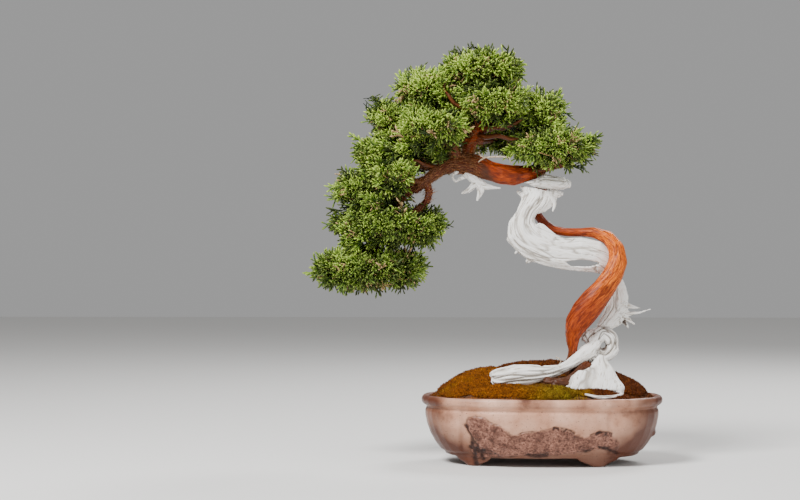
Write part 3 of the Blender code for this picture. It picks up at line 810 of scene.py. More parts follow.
@dataclass
class GrainField:
    """Turns points near several grain lines into (across, across, along) coordinates."""

    runs: tuple[GrainRun, ...]
    stretch: float = 0.14

    def read(self, points: Array) -> tuple[Array, Array, Array]:
        """Find each point's place beside the nearest line.

        Args:
            points: (n, 3) points in metres.

        Returns:
            The grain coordinates in millimetres with the length squeezed, each point's angle round
            its line, and its distance along it in metres.
        """
        best = np.full(len(points), np.inf)
        coordinates = np.zeros((len(points), 3))
        angle = np.zeros(len(points))
        along = np.zeros(len(points))
        for number, run in enumerate(self.runs):
            line = run.line()
            ways = unit(np.gradient(line, axis=0), TINY)
            gaps = np.r_[0, np.cumsum(np.linalg.norm(np.diff(line, axis=0), axis=1))]
            distance = np.full(len(points), np.inf)
            nearest = np.zeros(len(points), int)
            for k, stop in enumerate(line):
                d = ((points - stop) ** 2).sum(axis=1)
                closer = d < distance
                distance[closer] = d[closer]
                nearest[closer] = k
            way = ways[nearest]
            away = points - line[nearest]
            ahead = (away * way).sum(axis=1)
            away = away - ahead[:, None] * way
            reach = gaps[nearest] + ahead
            across = unit(np.cross(way, np.array([0.0, 1.0, 0.0])), 1e-9)
            depth = np.cross(across, way)
            turn = run.twist * reach
            a = (away * across).sum(axis=1)
            b = (away * depth).sum(axis=1)
            a, b = a * np.cos(turn) - b * np.sin(turn), a * np.sin(turn) + b * np.cos(turn)
            mine = distance < best
            best[mine] = distance[mine]
            local = np.column_stack([a, b, reach * self.stretch + 0.37 * number]) / MM
            coordinates[mine] = local[mine]
            angle[mine] = np.arctan2(b, a)[mine]
            along[mine] = reach[mine]
        return coordinates, angle, along


class Weather(Enum):
    """How a length of wood has aged; the value is its material slot."""

    LIVING = "bark"
    BLEACHED = "deadwood"


@dataclass(frozen=True)
class BrokenEnd:
    """Broken end of a root, rounded and chipped; places in millimetres from the pot's middle."""

    tip: Place
    heading: Place
    reach: float = 0.015
    narrowing: float = 0.62
    chip_size: float = 0.009
    chip_depth: float = 0.005

    def shape(self, points: Array, seed: int) -> Array:
        """Round the end off.

        Args:
            points: (n, 3) points.
            seed: which chips.

        Returns:
            The moved points.
        """
        way = np.array(self.heading) / np.linalg.norm(self.heading)
        offset = points - from_pot(self.tip)
        ahead = offset @ way
        across = offset - ahead[:, None] * way
        near = np.clip(1 + ahead / self.reach, 0, 1)
        near = near * smooth_step(0.034, 0.026, np.linalg.norm(across, axis=1))
        chips = layered_noise(points / self.chip_size, seed, 3) * self.chip_depth - 0.001
        points = points - across * (self.narrowing * near ** 2.5)[:, None]
        return points + way * (near * chips)[:, None]


@dataclass
class WoodPiece:
    """A stretch of wood carved with grooves that follow its grain."""

    name: str
    node: str
    runs: tuple[GrainRun, ...]
    weather: Weather = Weather.BLEACHED
    voxel: float = 0.0011
    softening: int = 14
    groove_depth: float = 0.0016
    groove_size: float = 0.20
    fibre_depth: float = 0.0003
    swell: float = 0.0003
    old_from: float | None = None
    end: BrokenEnd | None = None
    hollows: tuple[tuple[float, float, float], ...] = ()
    flutes: tuple[float, ...] = ()
    flute_depth: float = 0.0026
    cracks: float = 1.0
    flake_depth: float = 0.0022
    hollow_depth: float = 0.0022
    bole: bool = False
    bole_rounds: int = 70
    bole_swell: float = 0.0008
    bole_middle: float = 48.5
    waist_height: float = 165.0
    waist_reach: float = 15.0
    waist_depth: float = 0.36
    knot_depth: float = 0.0
    bell_depth: float = 0.0
    seed: int = 1

    def build(self, material: Material) -> Piece:
        """Carve the piece.

        Args:
            material: the wood's finish.

        Returns:
            The new object.
        """
        piece = fine_copy(self.name, self.node, self.voxel, self.softening)
        mesh = piece.data
        if self.end is not None:
            set_points(mesh, self.end.shape(points_of(mesh), self.seed))
        if self.bole:
            set_points(mesh, self.round_bole(mesh))
        if self.bell_depth:
            set_points(mesh, self.round_bell(points_of(mesh)))
        points, normals = surface_of(mesh)
        grain, angle, along = GrainField(self.runs).read(points)
        broad = layered_noise(grain * self.groove_size * 0.33, self.seed, 2)
        furrow = 1 - np.abs(layered_noise(grain * self.groove_size, self.seed + 5, 2)) * 3.6
        furrow = np.clip(furrow, 0, 1) ** 1.5
        furrow *= smooth_step(-0.5, 0.2, layered_noise(grain * 0.11 + 5.5, self.seed + 7, 1))
        flute = self.fluting(points, angle, along)
        fibre = layered_noise(grain * 1.1, self.seed + 9, 2)
        lift = self.swell + broad * self.groove_depth * 0.9 - furrow * self.groove_depth
        lift += fibre * self.fibre_depth
        age = self.age(points)
        flakes = np.abs(layered_noise(grain * 0.5, self.seed + 21, 3))
        lift += age * (flakes * self.flake_depth + 0.0004)
        hollow = self.hollow(points, normals)
        fold, lump = self.folds(points, grain, along)
        lift += (lump - 1.1 * fold) * self.knot_depth
        furrow = np.maximum(furrow, fold)
        lift -= hollow * self.hollow_depth + flute * self.flute_depth
        set_points(mesh, points + normals * lift[:, None])
        set_values(mesh, "grain", grain * 0.9)
        # grooves, flutes and folds darken: painted shade on bare wood and on the bole behind the
        # bare neck
        set_values(mesh, "groove_and_shade", np.maximum(np.maximum(furrow, flute), self.neck_shade(points)))
        set_values(mesh, "age", age)
        # painted highlight on the high bend of the young bark
        set_values(mesh, "painted_highlight", self.painted_highlight(points))
        # painted shade: the hollows and the knot's folds darken as well
        stains_and_shade = np.maximum(self.stains_and_shade(points, normals, grain), hollow * 0.95)
        set_values(mesh, "stain_and_shade", np.maximum(stains_and_shade, fold * 0.45))
        seat(piece, material, self.weather.value, self.node)
        return piece

    def round_bole(self, mesh: Mesh) -> Array:
        """Round the thick bends of the bole and draw in its waist above the roots.

        Args:
            mesh: the piece's mesh.

        Returns:
            The moved points.
        """
        points = points_of(mesh)
        x, _, z = in_pot(points)
        share = smooth_step(-60, -30, x) * smooth_step(404, 388, z)
        soft = relax(points, edges_of(mesh), self.bole_rounds, push=0.0)
        swell = normals_of(mesh) * (self.bole_swell * share)[:, None]
        points = points + (soft - points) * share[:, None] + swell
        waist = self.waist_depth * np.exp(-((z - self.waist_height) / self.waist_reach) ** 2)
        middle = from_pot((self.bole_middle, 0, 0))[0]
        points[:, 0] = middle + (points[:, 0] - middle) * (1 - waist)
        return points

    def round_bell(self, points: Array) -> Array:
        """Swell the outer lobe of the bell-shaped root and arch its foot over the moss.

        Args:
            points: (n, 3) points.

        Returns:
            The moved points.
        """
        x, _, z = in_pot(points)
        lobe = np.exp(-((z - 116) / 9.0) ** 2) * smooth_step(84, 118, x)
        toe = np.exp(-((z - 108) / 8.0) ** 2) * smooth_step(64, 40, x)
        arch = smooth_step(26, 14, np.abs(x - 86)) * smooth_step(113, 106, z)
        points = points.copy()
        points[:, 0] += (lobe - 0.6 * toe) * self.bell_depth
        points[:, 1] += arch * self.bell_depth * 1.4 - lobe * self.bell_depth * 0.4
        return points

    def folds(self, points: Array, grain: Array, along: Array) -> tuple[Array, Array]:
        """Find the folds that run round the knot, and its lumps.

        Args:
            points: (n, 3) points.
            grain: grain coordinates there.
            along: distances along the grain line.

        Returns:
            Folds, 0 to 1, and lumps, about -1 to 1, at each point.
        """
        if not self.knot_depth:
            return np.zeros(len(points)), np.zeros(len(points))
        knot = smooth_step(0.135, 0.175, along)
        fold = 1 - np.abs(layered_noise(grain * 0.135, self.seed + 71, 2)) * 8.0
        lump = layered_noise(points / 0.022, self.seed + 73, 2) + 0.50
        return np.clip(fold, 0, 1) * knot, lump * knot

    def fluting(self, points: Array, angle: Array, along: Array) -> Array:
        """Find the long grooves that run down a root.

        Args:
            points: (n, 3) points.
            angle: angles round the grain line.
            along: distances along it.

        Returns:
            How deep each point lies in a groove, 0 to 1.
        """
        total = np.zeros(len(points))
        for number, flute in enumerate(self.flutes):
            steps = np.column_stack([along / 0.030, np.full(len(along), 7.3 * number), 0 * along])
            away = angle - flute - 0.32 * lattice_noise(steps, self.seed + 50)
            away = (away + math.pi) % (2 * math.pi) - math.pi
            strength = smooth_step(-0.9, 0.1, lattice_noise(steps * 0.7 + 3.1, self.seed + 51))
            total = np.maximum(total, np.exp(-(away / 0.13) ** 2) * strength)
        return total * smooth_step(0.135, 0.105, along)

    def age(self, points: Array) -> Array:
        """Tell how old and rough the bark is.

        Args:
            points: (n, 3) points.

        Returns:
            The age of each point, 0 to 1.
        """
        if self.old_from is None:
            return np.zeros(len(points))
        x, _, z = in_pot(points)
        ragged = layered_noise(points / 0.016, self.seed + 41, 3) * 16
        limb = smooth_step(14, -16, x - self.old_from + ragged + 0.5 * (z - 432))
        above = smooth_step(446, 456, z + 0.3 * ragged) * (x > self.old_from)
        top = smooth_step(-14, -4, x) * smooth_step(428, 436, z)
        return np.maximum(np.maximum(limb, above), top)

    def painted_highlight(self, points: Array) -> Array:
        """Painted highlight on the young bark, most on the high bend, 0 to 1 at each point."""
        x, _, z = in_pot(points)
        return smooth_step(55, 100, x) * smooth_step(215, 285, z) * smooth_step(372, 350, z)

    def neck_shade(self, points: Array) -> Array:
        """Darken the bark where the bole passes behind the bare neck.

        Args:
            points: (n, 3) points.

        Returns:
            How dark each point is, 0 to 1.
        """
        if not self.bole:
            return np.zeros(len(points))
        x, _, z = in_pot(points)
        return smooth_step(52, 8, x) * smooth_step(325, 335, z) * smooth_step(420, 405, z) * 0.8

    def hollow(self, points: Array, normals: Array) -> Array:
        """Find the hollows on the front, carved in and darkened with painted shade.

        Args:
            points: (n, 3) points.
            normals: outward directions there.

        Returns:
            How deep each point lies in a hollow, 0 to 1.
        """
        x, _, z = in_pot(points)
        depth = np.zeros(len(points))
        for hollow_x, hollow_z, radius in self.hollows:
            away = np.hypot(x - hollow_x, (z - hollow_z) * 0.8)
            depth = np.maximum(depth, smooth_step(radius * 1.25, radius * 0.65, away))
        return depth * smooth_step(0.6, 0.25, normals[:, 1])

    def stains_and_shade(self, points: Array, normals: Array, grain: Array) -> Array:
        """Find the dark cracks on bare wood and the darker foot of the live trunk, and paint shade
        in the fold of the live bark and on the undersides of bare wood.

        Args:
            points: (n, 3) points.
            normals: outward directions there.
            grain: grain coordinates there.

        Returns:
            How dark each point is, 0 to 1.
        """
        if self.weather is Weather.LIVING:
            x, _, z = in_pot(points)
            foot = smooth_step(153, 138, z)
            wander = layered_noise(points / 0.010, self.seed + 61, 2) * 5
            # painted shade: the deep fold where the young bark meets the old
            fold = np.exp(-((x + 87 + (z - 440) * 0.55 + wander) / 6.0) ** 2)
            fold *= smooth_step(400, 412, z) * smooth_step(455, 440, z)
            return np.clip(foot * 0.65 + fold * 0.75, 0, 1)
        cracks = np.abs(layered_noise(grain * 0.22 + 9.1, self.seed + 33, 2))
        rare = smooth_step(0.25, 0.6, layered_noise(points * 45, self.seed + 37, 2))
        marks = smooth_step(0.030, 0.0, cracks) * rare * self.cracks
        # painted shade on the undersides
        under = smooth_step(-0.55, -1.0, normals[:, 2]) * 0.22
        return np.clip(marks + under, 0, 1)


TRUNK_RUN = GrainRun((
    (46, 4, 108), (45, 0, 144), (46, -6, 168), (46, -12, 189), (51, -18, 207), (61, -22, 223),
    (77, -24, 243), (92, -23, 261), (105, -20, 280), (113, -15, 300), (111, -10, 320),
    (99, -4, 336), (78, 2, 344), (57, 6, 344), (38, 9, 344), (18, 12, 348), (3, 14, 359),
    (-7, 18, 373), (-7, 22, 392), (0, 23, 409), (2, 18, 424), (-8, 8, 434), (-24, -2, 432),
    (-42, -9, 429), (-60, -12, 431), (-78, -12, 436), (-96, -12, 443), (-113, -12, 446),
    (-131, -14, 446), (-147, -16, 440), (-163, -19, 429), (-178, -22, 416), (-190, -26, 404)),
    twist=9.0)
LEADER_RUN = GrainRun(((-112, -10, 452), (-109, -4, 472), (-99, 2, 490), (-90, 4, 512),
                       (-95, 2, 538), (-96, 0, 566), (-92, 0, 588)), twist=14.0)
LOOP_RUNS = (
    GrainRun(((-174, -20, 419), (-188, -22, 411), (-204, -20, 401), (-217, -16, 385),
              (-230, -12, 365), (-255, -5, 305)), twist=20.0),
    GrainRun(((-168, -28, 404), (-171, -34, 390), (-184, -34, 377), (-201, -30, 366),
              (-222, -24, 352)), twist=20.0),
)
BARE_TRUNK_RUN = GrainRun((
    (-3, -2, 412), (-5, -3, 397), (-14, -4, 385), (-22, -5, 375), (-27, -7, 360), (-26, -8, 346),
    (-15, -8, 332), (2, -8, 322), (20, -8, 315), (40, -7, 312), (60, -5, 311), (80, 0, 307),
    (97, 6, 298), (106, 11, 284), (110, 14, 270)), twist=-5.0)


CROWN_LIMBS = (
    (GrainRun(((-97, 2, 512), (-104, -18, 524), (-118, -36, 528), (-130, -42, 534),
               (-139, -42, 546))),
     0.0048, 0.0026),
    (GrainRun(((-92, 3, 505), (-80, -20, 501), (-62, -38, 500), (-44, -42, 503), (-30, -38, 512))),
     0.0046, 0.0022),
    (GrainRun(((-96, 2, 492), (-84, -16, 486), (-66, -30, 487), (-46, -34, 482), (-28, -30, 484))),
     0.0046, 0.0024),
    (GrainRun(((-139, -42, 546), (-146, -40, 556), (-144, -38, 566))), 0.0024, 0.0012),
    (GrainRun(((-158, -16, 442), (-174, -34, 444), (-188, -42, 450), (-200, -42, 446))),
     0.0034, 0.0014))
MOSS_TWIGS = (
    (GrainRun(((22, -14, 141), (26, -15, 147), (28, -15, 151), (25, -15, 156), (20, -14, 158))),
     0.0010, 0.0006),)
NECK_SPURS = (
    (GrainRun(((6, -8, 402), (15, -10, 395), (19, -11, 386), (16, -11, 375))), 0.0062, 0.0008),
    (GrainRun(((-28, -6, 324), (-35, -7, 318), (-40, -7, 312))), 0.0050, 0.0009))


# ==== Foliage ====

def turned_to(directions: Array, spins: Array) -> Array:
    """Rotations that turn +Z to each direction after a spin about it.

    Args:
        directions: (n, 3) unit directions.
        spins: n angles.

    Returns:
        (n, 3, 3) matrices.
    """
    helper = np.where(np.abs(directions[:, 2:3]) < 0.9, [[0.0, 0.0, 1.0]], [[1.0, 0.0, 0.0]])
    side = unit(np.cross(helper, directions))
    other = np.cross(directions, side)
    c, s = np.cos(spins)[:, None], np.sin(spins)[:, None]
    return np.stack([side * c + other * s, other * c - side * s, directions], axis=2)


def tapered_run(run: GrainRun, thick: float, thin: float, sides: int, seed: int,
                rough: float = 0.10) -> tuple[Array, Array]:
    """Knobbly tapering limb along a line, closed at both ends.

    Args:
        run: the line.
        thick: half thickness at its start in metres.
        thin: half thickness at its end in metres.
        sides: how many sides.
        seed: which knobs.
        rough: size of the knobs as a share of the thickness.

    Returns:
        Points and triangles.
    """
    line = run.line(1.2)
    ways = unit(np.gradient(line, axis=0), TINY)
    side = unit(np.cross(ways, np.array([0.13, 1.0, 0.21])))[:, None]
    other = np.cross(ways, side[:, 0])[:, None]
    turns = (np.arange(sides) * 2 * math.pi / sides)[None, :, None]
    around = np.cos(turns) * side + np.sin(turns) * other
    girth = np.linspace(thick, thin, len(line))[:, None]
    marks = (line[:, None] + around * 0.004).reshape(-1, 3) / 0.004
    girth = girth * (1 + rough * layered_noise(marks, seed, 2).reshape(len(line), sides))
    points = (line[:, None] + around * girth[:, :, None]).reshape(-1, 3)
    ring, step = np.meshgrid(np.arange(len(line) - 1), np.arange(sides), indexing="ij")
    low, after = ring * sides + step, ring * sides + (step + 1) % sides
    first = np.stack([low, after, after + sides], axis=2).reshape(-1, 3)
    second = np.stack([low, after + sides, low + sides], axis=2).reshape(-1, 3)
    last = len(points) - sides
    caps = [(0, k + 1, k) for k in range(1, sides - 1)]
    caps += [(last, last + k, last + k + 1) for k in range(1, sides - 1)]
    return points, np.concatenate([first, second, np.array(caps)])


@dataclass
class SmallLimbs:
    """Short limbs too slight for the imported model, as one piece."""

    name: str
    slot: str
    limbs: tuple[tuple[GrainRun, float, float], ...]
    age: float = 1.0
    sides: int = 14
    seed: int = 201

    def build(self, material: Material) -> Piece:
        """Grow the limbs.

        Args:
            material: the wood's finish.

        Returns:
            The new object.
        """
        piece = mesh_from_arrays(self.name, *joined([
            tapered_run(run, thick, thin, self.sides, self.seed + number)
            for number, (run, thick, thin) in enumerate(self.limbs)]))
        grain, _, _ = GrainField(tuple(run for run, _, _ in self.limbs)).read(points_of(piece.data))
        set_values(piece.data, "grain", grain)
        set_values(piece.data, "age", np.full(len(grain), self.age))
        seat(piece, material, self.slot)
        return piece


@dataclass
class BarkShreds:
    """Thin strips of old bark that have come loose along a limb."""

    count: int = 5200
    length: float = 0.0105
    width: float = 0.00046
    lifting: float = 0.38
    straying: float = 0.16
    lowest: float = 340.0
    seed: int = 301

    def build(self, wood: Piece, run: GrainRun, material: Material, old_to: float) -> Piece:
        """Lay the strips along the grain of a limb.

        Args:
            wood: the limb.
            run: the line that its grain follows.
            material: the strips' finish.
            old_to: the old bark lies on this side of x, in millimetres from the pot's middle.

        Returns:
            The new object.
        """
        rng = np.random.default_rng(self.seed)
        points, normals = surface_of(wood.data)
        x, _, z = in_pot(points)
        chosen = rng.choice(np.flatnonzero((x < old_to) & (z > self.lowest)), self.count)
        line = run.line()
        gaps = ((points[chosen][:, None] - line[None]) ** 2).sum(axis=2)
        way = unit(np.gradient(line, axis=0)[gaps.argmin(axis=1)])
        way = way * rng.choice([-1, 1], self.count)[:, None]
        way = way + normals[chosen] * rng.uniform(0.0, self.lifting, (self.count, 1))
        way += rng.normal(0, self.straying, way.shape)
        turns = turned_to(unit(way), rng.uniform(0, SPIN, self.count))
        piece = mesh_from_arrays("bark_shreds", *copies(
            cone(self.width, 0.0, self.length), CONE_FACES, turns,
            rng.uniform(0.4, 1.1, self.count), points[chosen]))
        seat(piece, material, "bark")
        return piece


@dataclass
class SprayShape:
    """One branched shoot tip of a scale-leaved juniper, growing along +Z."""

    length: float = 0.024
    stem: float = 0.00105
    side_shoots: int = 7
    shoot_length: float = 0.0120
    shoot_width: float = 0.00138
    spread: float = 0.70
    sway: float = 0.14
    first_side: float = 0.28
    side_span: float = 0.60
    turn_step: float = 2.4
    curl: float = 0.22
    side_base: float = 0.30

    def tube(self, start: Array, way: Array, length: float, width: float, base: float,
             bend: Array) -> tuple[Array, Array, Array]:
        """Three-sided shoot that thickens towards its blunt tip.

        Args:
            start: where it leaves.
            way: unit direction.
            length: its length.
            width: its half thickness.
            base: its place along the colour patch at the start, 0 to 1.
            bend: sideways shift of the tip.

        Returns:
            Points, triangles, and each point's place along the patch.
        """
        side, other = square_to(way, 0, 1)
        points, shade, faces = [], [], []
        for level, (t, girth) in enumerate(((0.0, 0.55), (0.80, 1.0))):
            middle = start + way * length * t + bend * t * t
            for k in range(3):
                a = 2 * math.pi * k / 3 + 0.6 * level
                points.append(middle + (side * math.cos(a) + other * math.sin(a)) * width * girth)
                shade.append(base + (1 - base) * t)
        points.append(start + way * length + bend)
        shade.append(1.0)
        for k in range(3):
            n = (k + 1) % 3
            faces += [(k, n, 3 + n), (k, 3 + n, 3 + k), (3 + k, 3 + n, 6)]
        return np.array(points), np.array(faces), np.array(shade)

    def template(self, rng: Chance) -> list[Array]:
        """One random spray.

        Args:
            rng: where the chance comes from.

        Returns:
            Points, triangles, and each point's place along the patch.
        """
        sway = rng.normal(0, self.sway, 3) * self.length
        sway[2] = 0
        parts = [self.tube(np.zeros(3), UP, self.length, self.stem, 0.0, sway)]
        turn = rng.uniform(0, 2 * math.pi)
        for number in range(self.side_shoots):
            t = self.first_side + self.side_span * number / max(self.side_shoots - 1, 1)
            turn += self.turn_step + rng.normal(0, 0.4)
            lean = self.spread * rng.uniform(0.65, 1.3)
            way = np.array([math.cos(turn) * math.sin(lean), math.sin(turn) * math.sin(lean),
                            math.cos(lean)])
            length = self.shoot_length * rng.uniform(0.6, 1.3) * (1.12 - 0.45 * t)
            start = UP * self.length * t + sway * t * t
            curl = UP * length * self.curl + rng.normal(0, 0.10, 3) * length
            width = self.shoot_width * rng.uniform(0.75, 1.15)
            parts.append(self.tube(start, way, length, width, self.side_base, curl))
        return joined(parts)


@dataclass
class SprayBatch:
    """Places, directions, shades and sizes of many sprays."""

    starts: list[Array] = field(default_factory=list)
    ways: list[Array] = field(default_factory=list)
    shades: list[Array] = field(default_factory=list)
    sizes: list[Array] = field(default_factory=list)

    def add(self, starts: Array, ways: Array, shades: Array, sizes: Array) -> None:
        """Add a few sprays.

        Args:
            starts: where they leave.
            ways: their directions.
            shades: their places in the colour patch, 0 to 1.
            sizes: their scales.
        """
        self.starts.append(starts)
        self.ways.append(unit(ways))
        self.shades.append(np.clip(shades, 0.01, 0.99))
        self.sizes.append(sizes)

    def plant(self, name: str, shape: SprayShape, variants: int, rng: Chance,
              material: Material, *nodes: str) -> Piece:
        """Copy sprays to their places and make one mesh.

        Args:
            name: the piece's name.
            shape: what a spray looks like.
            variants: how many different sprays.
            rng: where the chance comes from.
            material: the foliage finish.
            nodes: the CAD nodes that it stands for.

        Returns:
            The new object.
        """
        starts, ways = np.concatenate(self.starts), np.concatenate(self.ways)
        shades, sizes = np.concatenate(self.shades), np.concatenate(self.sizes)
        kinds = rng.integers(0, variants, len(starts))
        turns = turned_to(ways, rng.uniform(0, 2 * math.pi, len(starts)))
        parts = []
        for kind in range(variants):
            points, faces, along = shape.template(rng)
            mine = np.flatnonzero(kinds == kind)
            if not len(mine):
                continue
            patch = np.empty((len(mine), len(points), 2))
            patch[:, :, 0] = 0.02 + 0.96 * along
            patch[:, :, 1] = 0.02 + 0.94 * shades[mine][:, None]
            parts.append((*copies(points, faces, turns[mine], sizes[mine], starts[mine]),
                          patch.reshape(-1, 2)))
        points, faces, patch = joined(parts)
        # painted light: a touch lighter higher up
        patch[:, 1] += 0.008 * (points[:, 2] - points[:, 2].min()) / np.ptp(points[:, 2])
        piece = mesh_from_arrays(name, points, faces, patch)
        seat(piece, material, "foliage", *nodes)
        return piece


@dataclass
class FoliagePad:
    """Cushion of shoot tips in tufts, on brown twigs that leave one branch."""

    node: str
    shape: SprayShape
    seed: int
    tuft_area: float = 330e-6
    tuft_depth: float = 0.027
    sprays_in_tuft: int = 9
    inner_share: float = 0.9
    variants: int = 10
    twig_count: int = 44
    withered_share: float = 0.045
    bare: tuple[tuple[float, float, float, float], ...] = (
        (-212, -34, 386, 0.033), (-190, -34, 388, 0.034), (-136, -48, 537, 0.018),
        (-50, -48, 504, 0.017), (-75, -45, 470, 0.025), (-190, -40, 446, 0.013))
    front_share: float = 0.45
    tries_for_each: int = 6
    gap_share: float = 0.70
    heart_share: float = 1.10
    lightest_shade: float = 0.88
    withered: float = 0.97
    gap_size: float = 0.016
    wave_size: float = 0.024
    wave_height: float = 0.0100
    aim_spread: float = 0.50
    heart_spread: float = 0.0028

    def surface(self) -> tuple[Array, Array]:
        """Corners and areas of the pad's CAD triangles.

        Returns:
            (n, 3, 3) corners and n areas.
        """
        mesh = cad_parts[self.node].data
        corners = points_of(mesh)[triangles_of(mesh)]
        facing = np.cross(corners[:, 1] - corners[:, 0], corners[:, 2] - corners[:, 0])
        return corners, np.linalg.norm(facing, axis=1) / 2

    def spots(self, rng: Chance, number: int) -> Array:
        """Evenly strewn spots on the pad's surface.

        Args:
            rng: where the chance comes from.
            number: how many spots.

        Returns:
            The spots.
        """
        corners, area = self.surface()
        tries = number * self.tries_for_each
        chosen = rng.choice(len(area), tries, p=area / area.sum())
        a, b = rng.random(tries), rng.random(tries)
        flip = a + b > 1
        a[flip], b[flip] = 1 - a[flip], 1 - b[flip]
        first, second, third = corners[chosen].transpose(1, 0, 2)
        places = first + (second - first) * a[:, None] + (third - first) * b[:, None]
        kept: list[int] = []
        gap = self.gap_share * math.sqrt(self.tuft_area)
        for k in range(tries):
            if len(kept) == number:
                break
            if kept and ((places[kept] - places[k]) ** 2).sum(axis=1).min() < gap * gap:
                continue
            kept.append(k)
        return places[kept]

    def middle_and_half(self) -> tuple[Array, Array]:
        """Middle of the pad's box and half of its sides."""
        low, high = (np.array(corner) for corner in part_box(self.node))
        return (low + high) / 2, (high - low) / 2

    def outward(self, places: Array) -> Array:
        """Smooth outward direction at places on the pad, as on a rounded cushion."""
        middle, half = self.middle_and_half()
        return unit((places - middle) / half ** 2, TINY)

    def build(self, material: Material) -> Piece:
        """Strew the sprays.

        Args:
            material: the foliage finish.

        Returns:
            The new object.
        """
        rng = np.random.default_rng(self.seed)
        _, area = self.surface()
        places = self.spots(rng, int(area.sum() / self.tuft_area))
        normal = self.outward(places)
        low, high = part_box(self.node)
        height = (places[:, 2] - low[2]) / (high[2] - low[2])
        open_air = lattice_noise(places / self.gap_size, self.seed + 3) > -0.50
        wave = lattice_noise(places / self.wave_size, self.seed) * self.wave_height
        places = places + normal * wave[:, None]
        for *spot, reach in self.bare:
            offset = places - from_pot(spot)
            offset[:, 1] *= np.where(offset[:, 1] < 0, self.front_share, 1.0)
            open_air &= np.linalg.norm(offset, axis=1) > reach
        axis = normal + UP * (0.25 + 0.30 * (height > 0.35))[:, None]
        batch = SprayBatch()
        for place, way, out, level in zip(*(a[open_air] for a in (places, axis, normal, height))):
            self.add_tuft(batch, rng, place, way / np.linalg.norm(way), out, level)
        name = "sprays_" + self.node.removeprefix("foliage_")
        return batch.plant(name, self.shape, self.variants, rng, material, self.node)

    def add_tuft(self, batch: SprayBatch, rng: Chance, place: Array,
                 way: Array, out: Array, level: float) -> None:
        """Add one fan of sprays, made lighter high on the pad and in the crown by painted light,
        and the dark shoots under it, which are painted shade.

        Args:
            batch: where the sprays go.
            rng: where the chance comes from.
            place: where the tuft's tips reach.
            way: the tuft's direction.
            out: outward direction of the pad there.
            level: height on the pad, 0 to 1.
        """
        heart = place - out * self.tuft_depth * self.heart_share
        count = self.sprays_in_tuft if level > 0.3 else int(self.sprays_in_tuft * 0.7)
        aim = way + rng.normal(0, self.aim_spread, (count, 3))
        # painted light: sprays lighter high on the pad and high in the crown, with random tone on
        # top
        crown = np.clip((place[2] - 0.30) / 0.28, 0, 1)
        shade = 0.18 + 0.34 * level + 0.28 * crown + rng.normal(0, 0.11)
        shade = np.minimum(shade + rng.normal(0, 0.16, count), self.lightest_shade)
        shade[rng.random(count) < self.withered_share] = self.withered
        sizes = rng.uniform(0.72, 1.16, count) + 0.22 * (rng.random(count) < 0.06)
        batch.add(heart + rng.normal(0, self.heart_spread, (count, 3)), aim, shade, sizes)
        # painted shade: a few dark shoots deep under the tuft
        under = int(2.5 * self.inner_share + rng.random())
        batch.add(heart - out * 0.010 + rng.normal(0, 0.004, (under, 3)),
                  way + rng.normal(0, 0.8, (under, 3)), rng.uniform(0.0, 0.16, under),
                  rng.uniform(0.85, 1.1, under))


@dataclass
class LooseTufts:
    """Tufts that stray out between the pads and join them into one crown."""

    shape: SprayShape
    stops: tuple[Place, ...]
    heart: Place = (-90, 0, 480)
    tufts_at_stop: int = 3
    scatter: float = 0.007
    seed: int = 500

    def build(self, pad: FoliagePad, material: Material) -> Piece:
        """Plant the tufts.

        Args:
            pad: a pad whose tufts these copy.
            material: the foliage finish.

        Returns:
            The new object.
        """
        rng = np.random.default_rng(self.seed)
        batch = SprayBatch()
        heart = from_pot(self.heart)
        for place in from_pot(self.stops):
            out = place - heart
            out /= np.linalg.norm(out)
            way = out + UP * 0.5
            way /= np.linalg.norm(way)
            for _ in range(self.tufts_at_stop):
                spot = place + rng.normal(0, self.scatter, 3)
                pad.add_tuft(batch, rng, spot, way, out, rng.uniform(0.3, 0.9))
        return batch.plant("sprays_between", self.shape, pad.variants, rng, material)


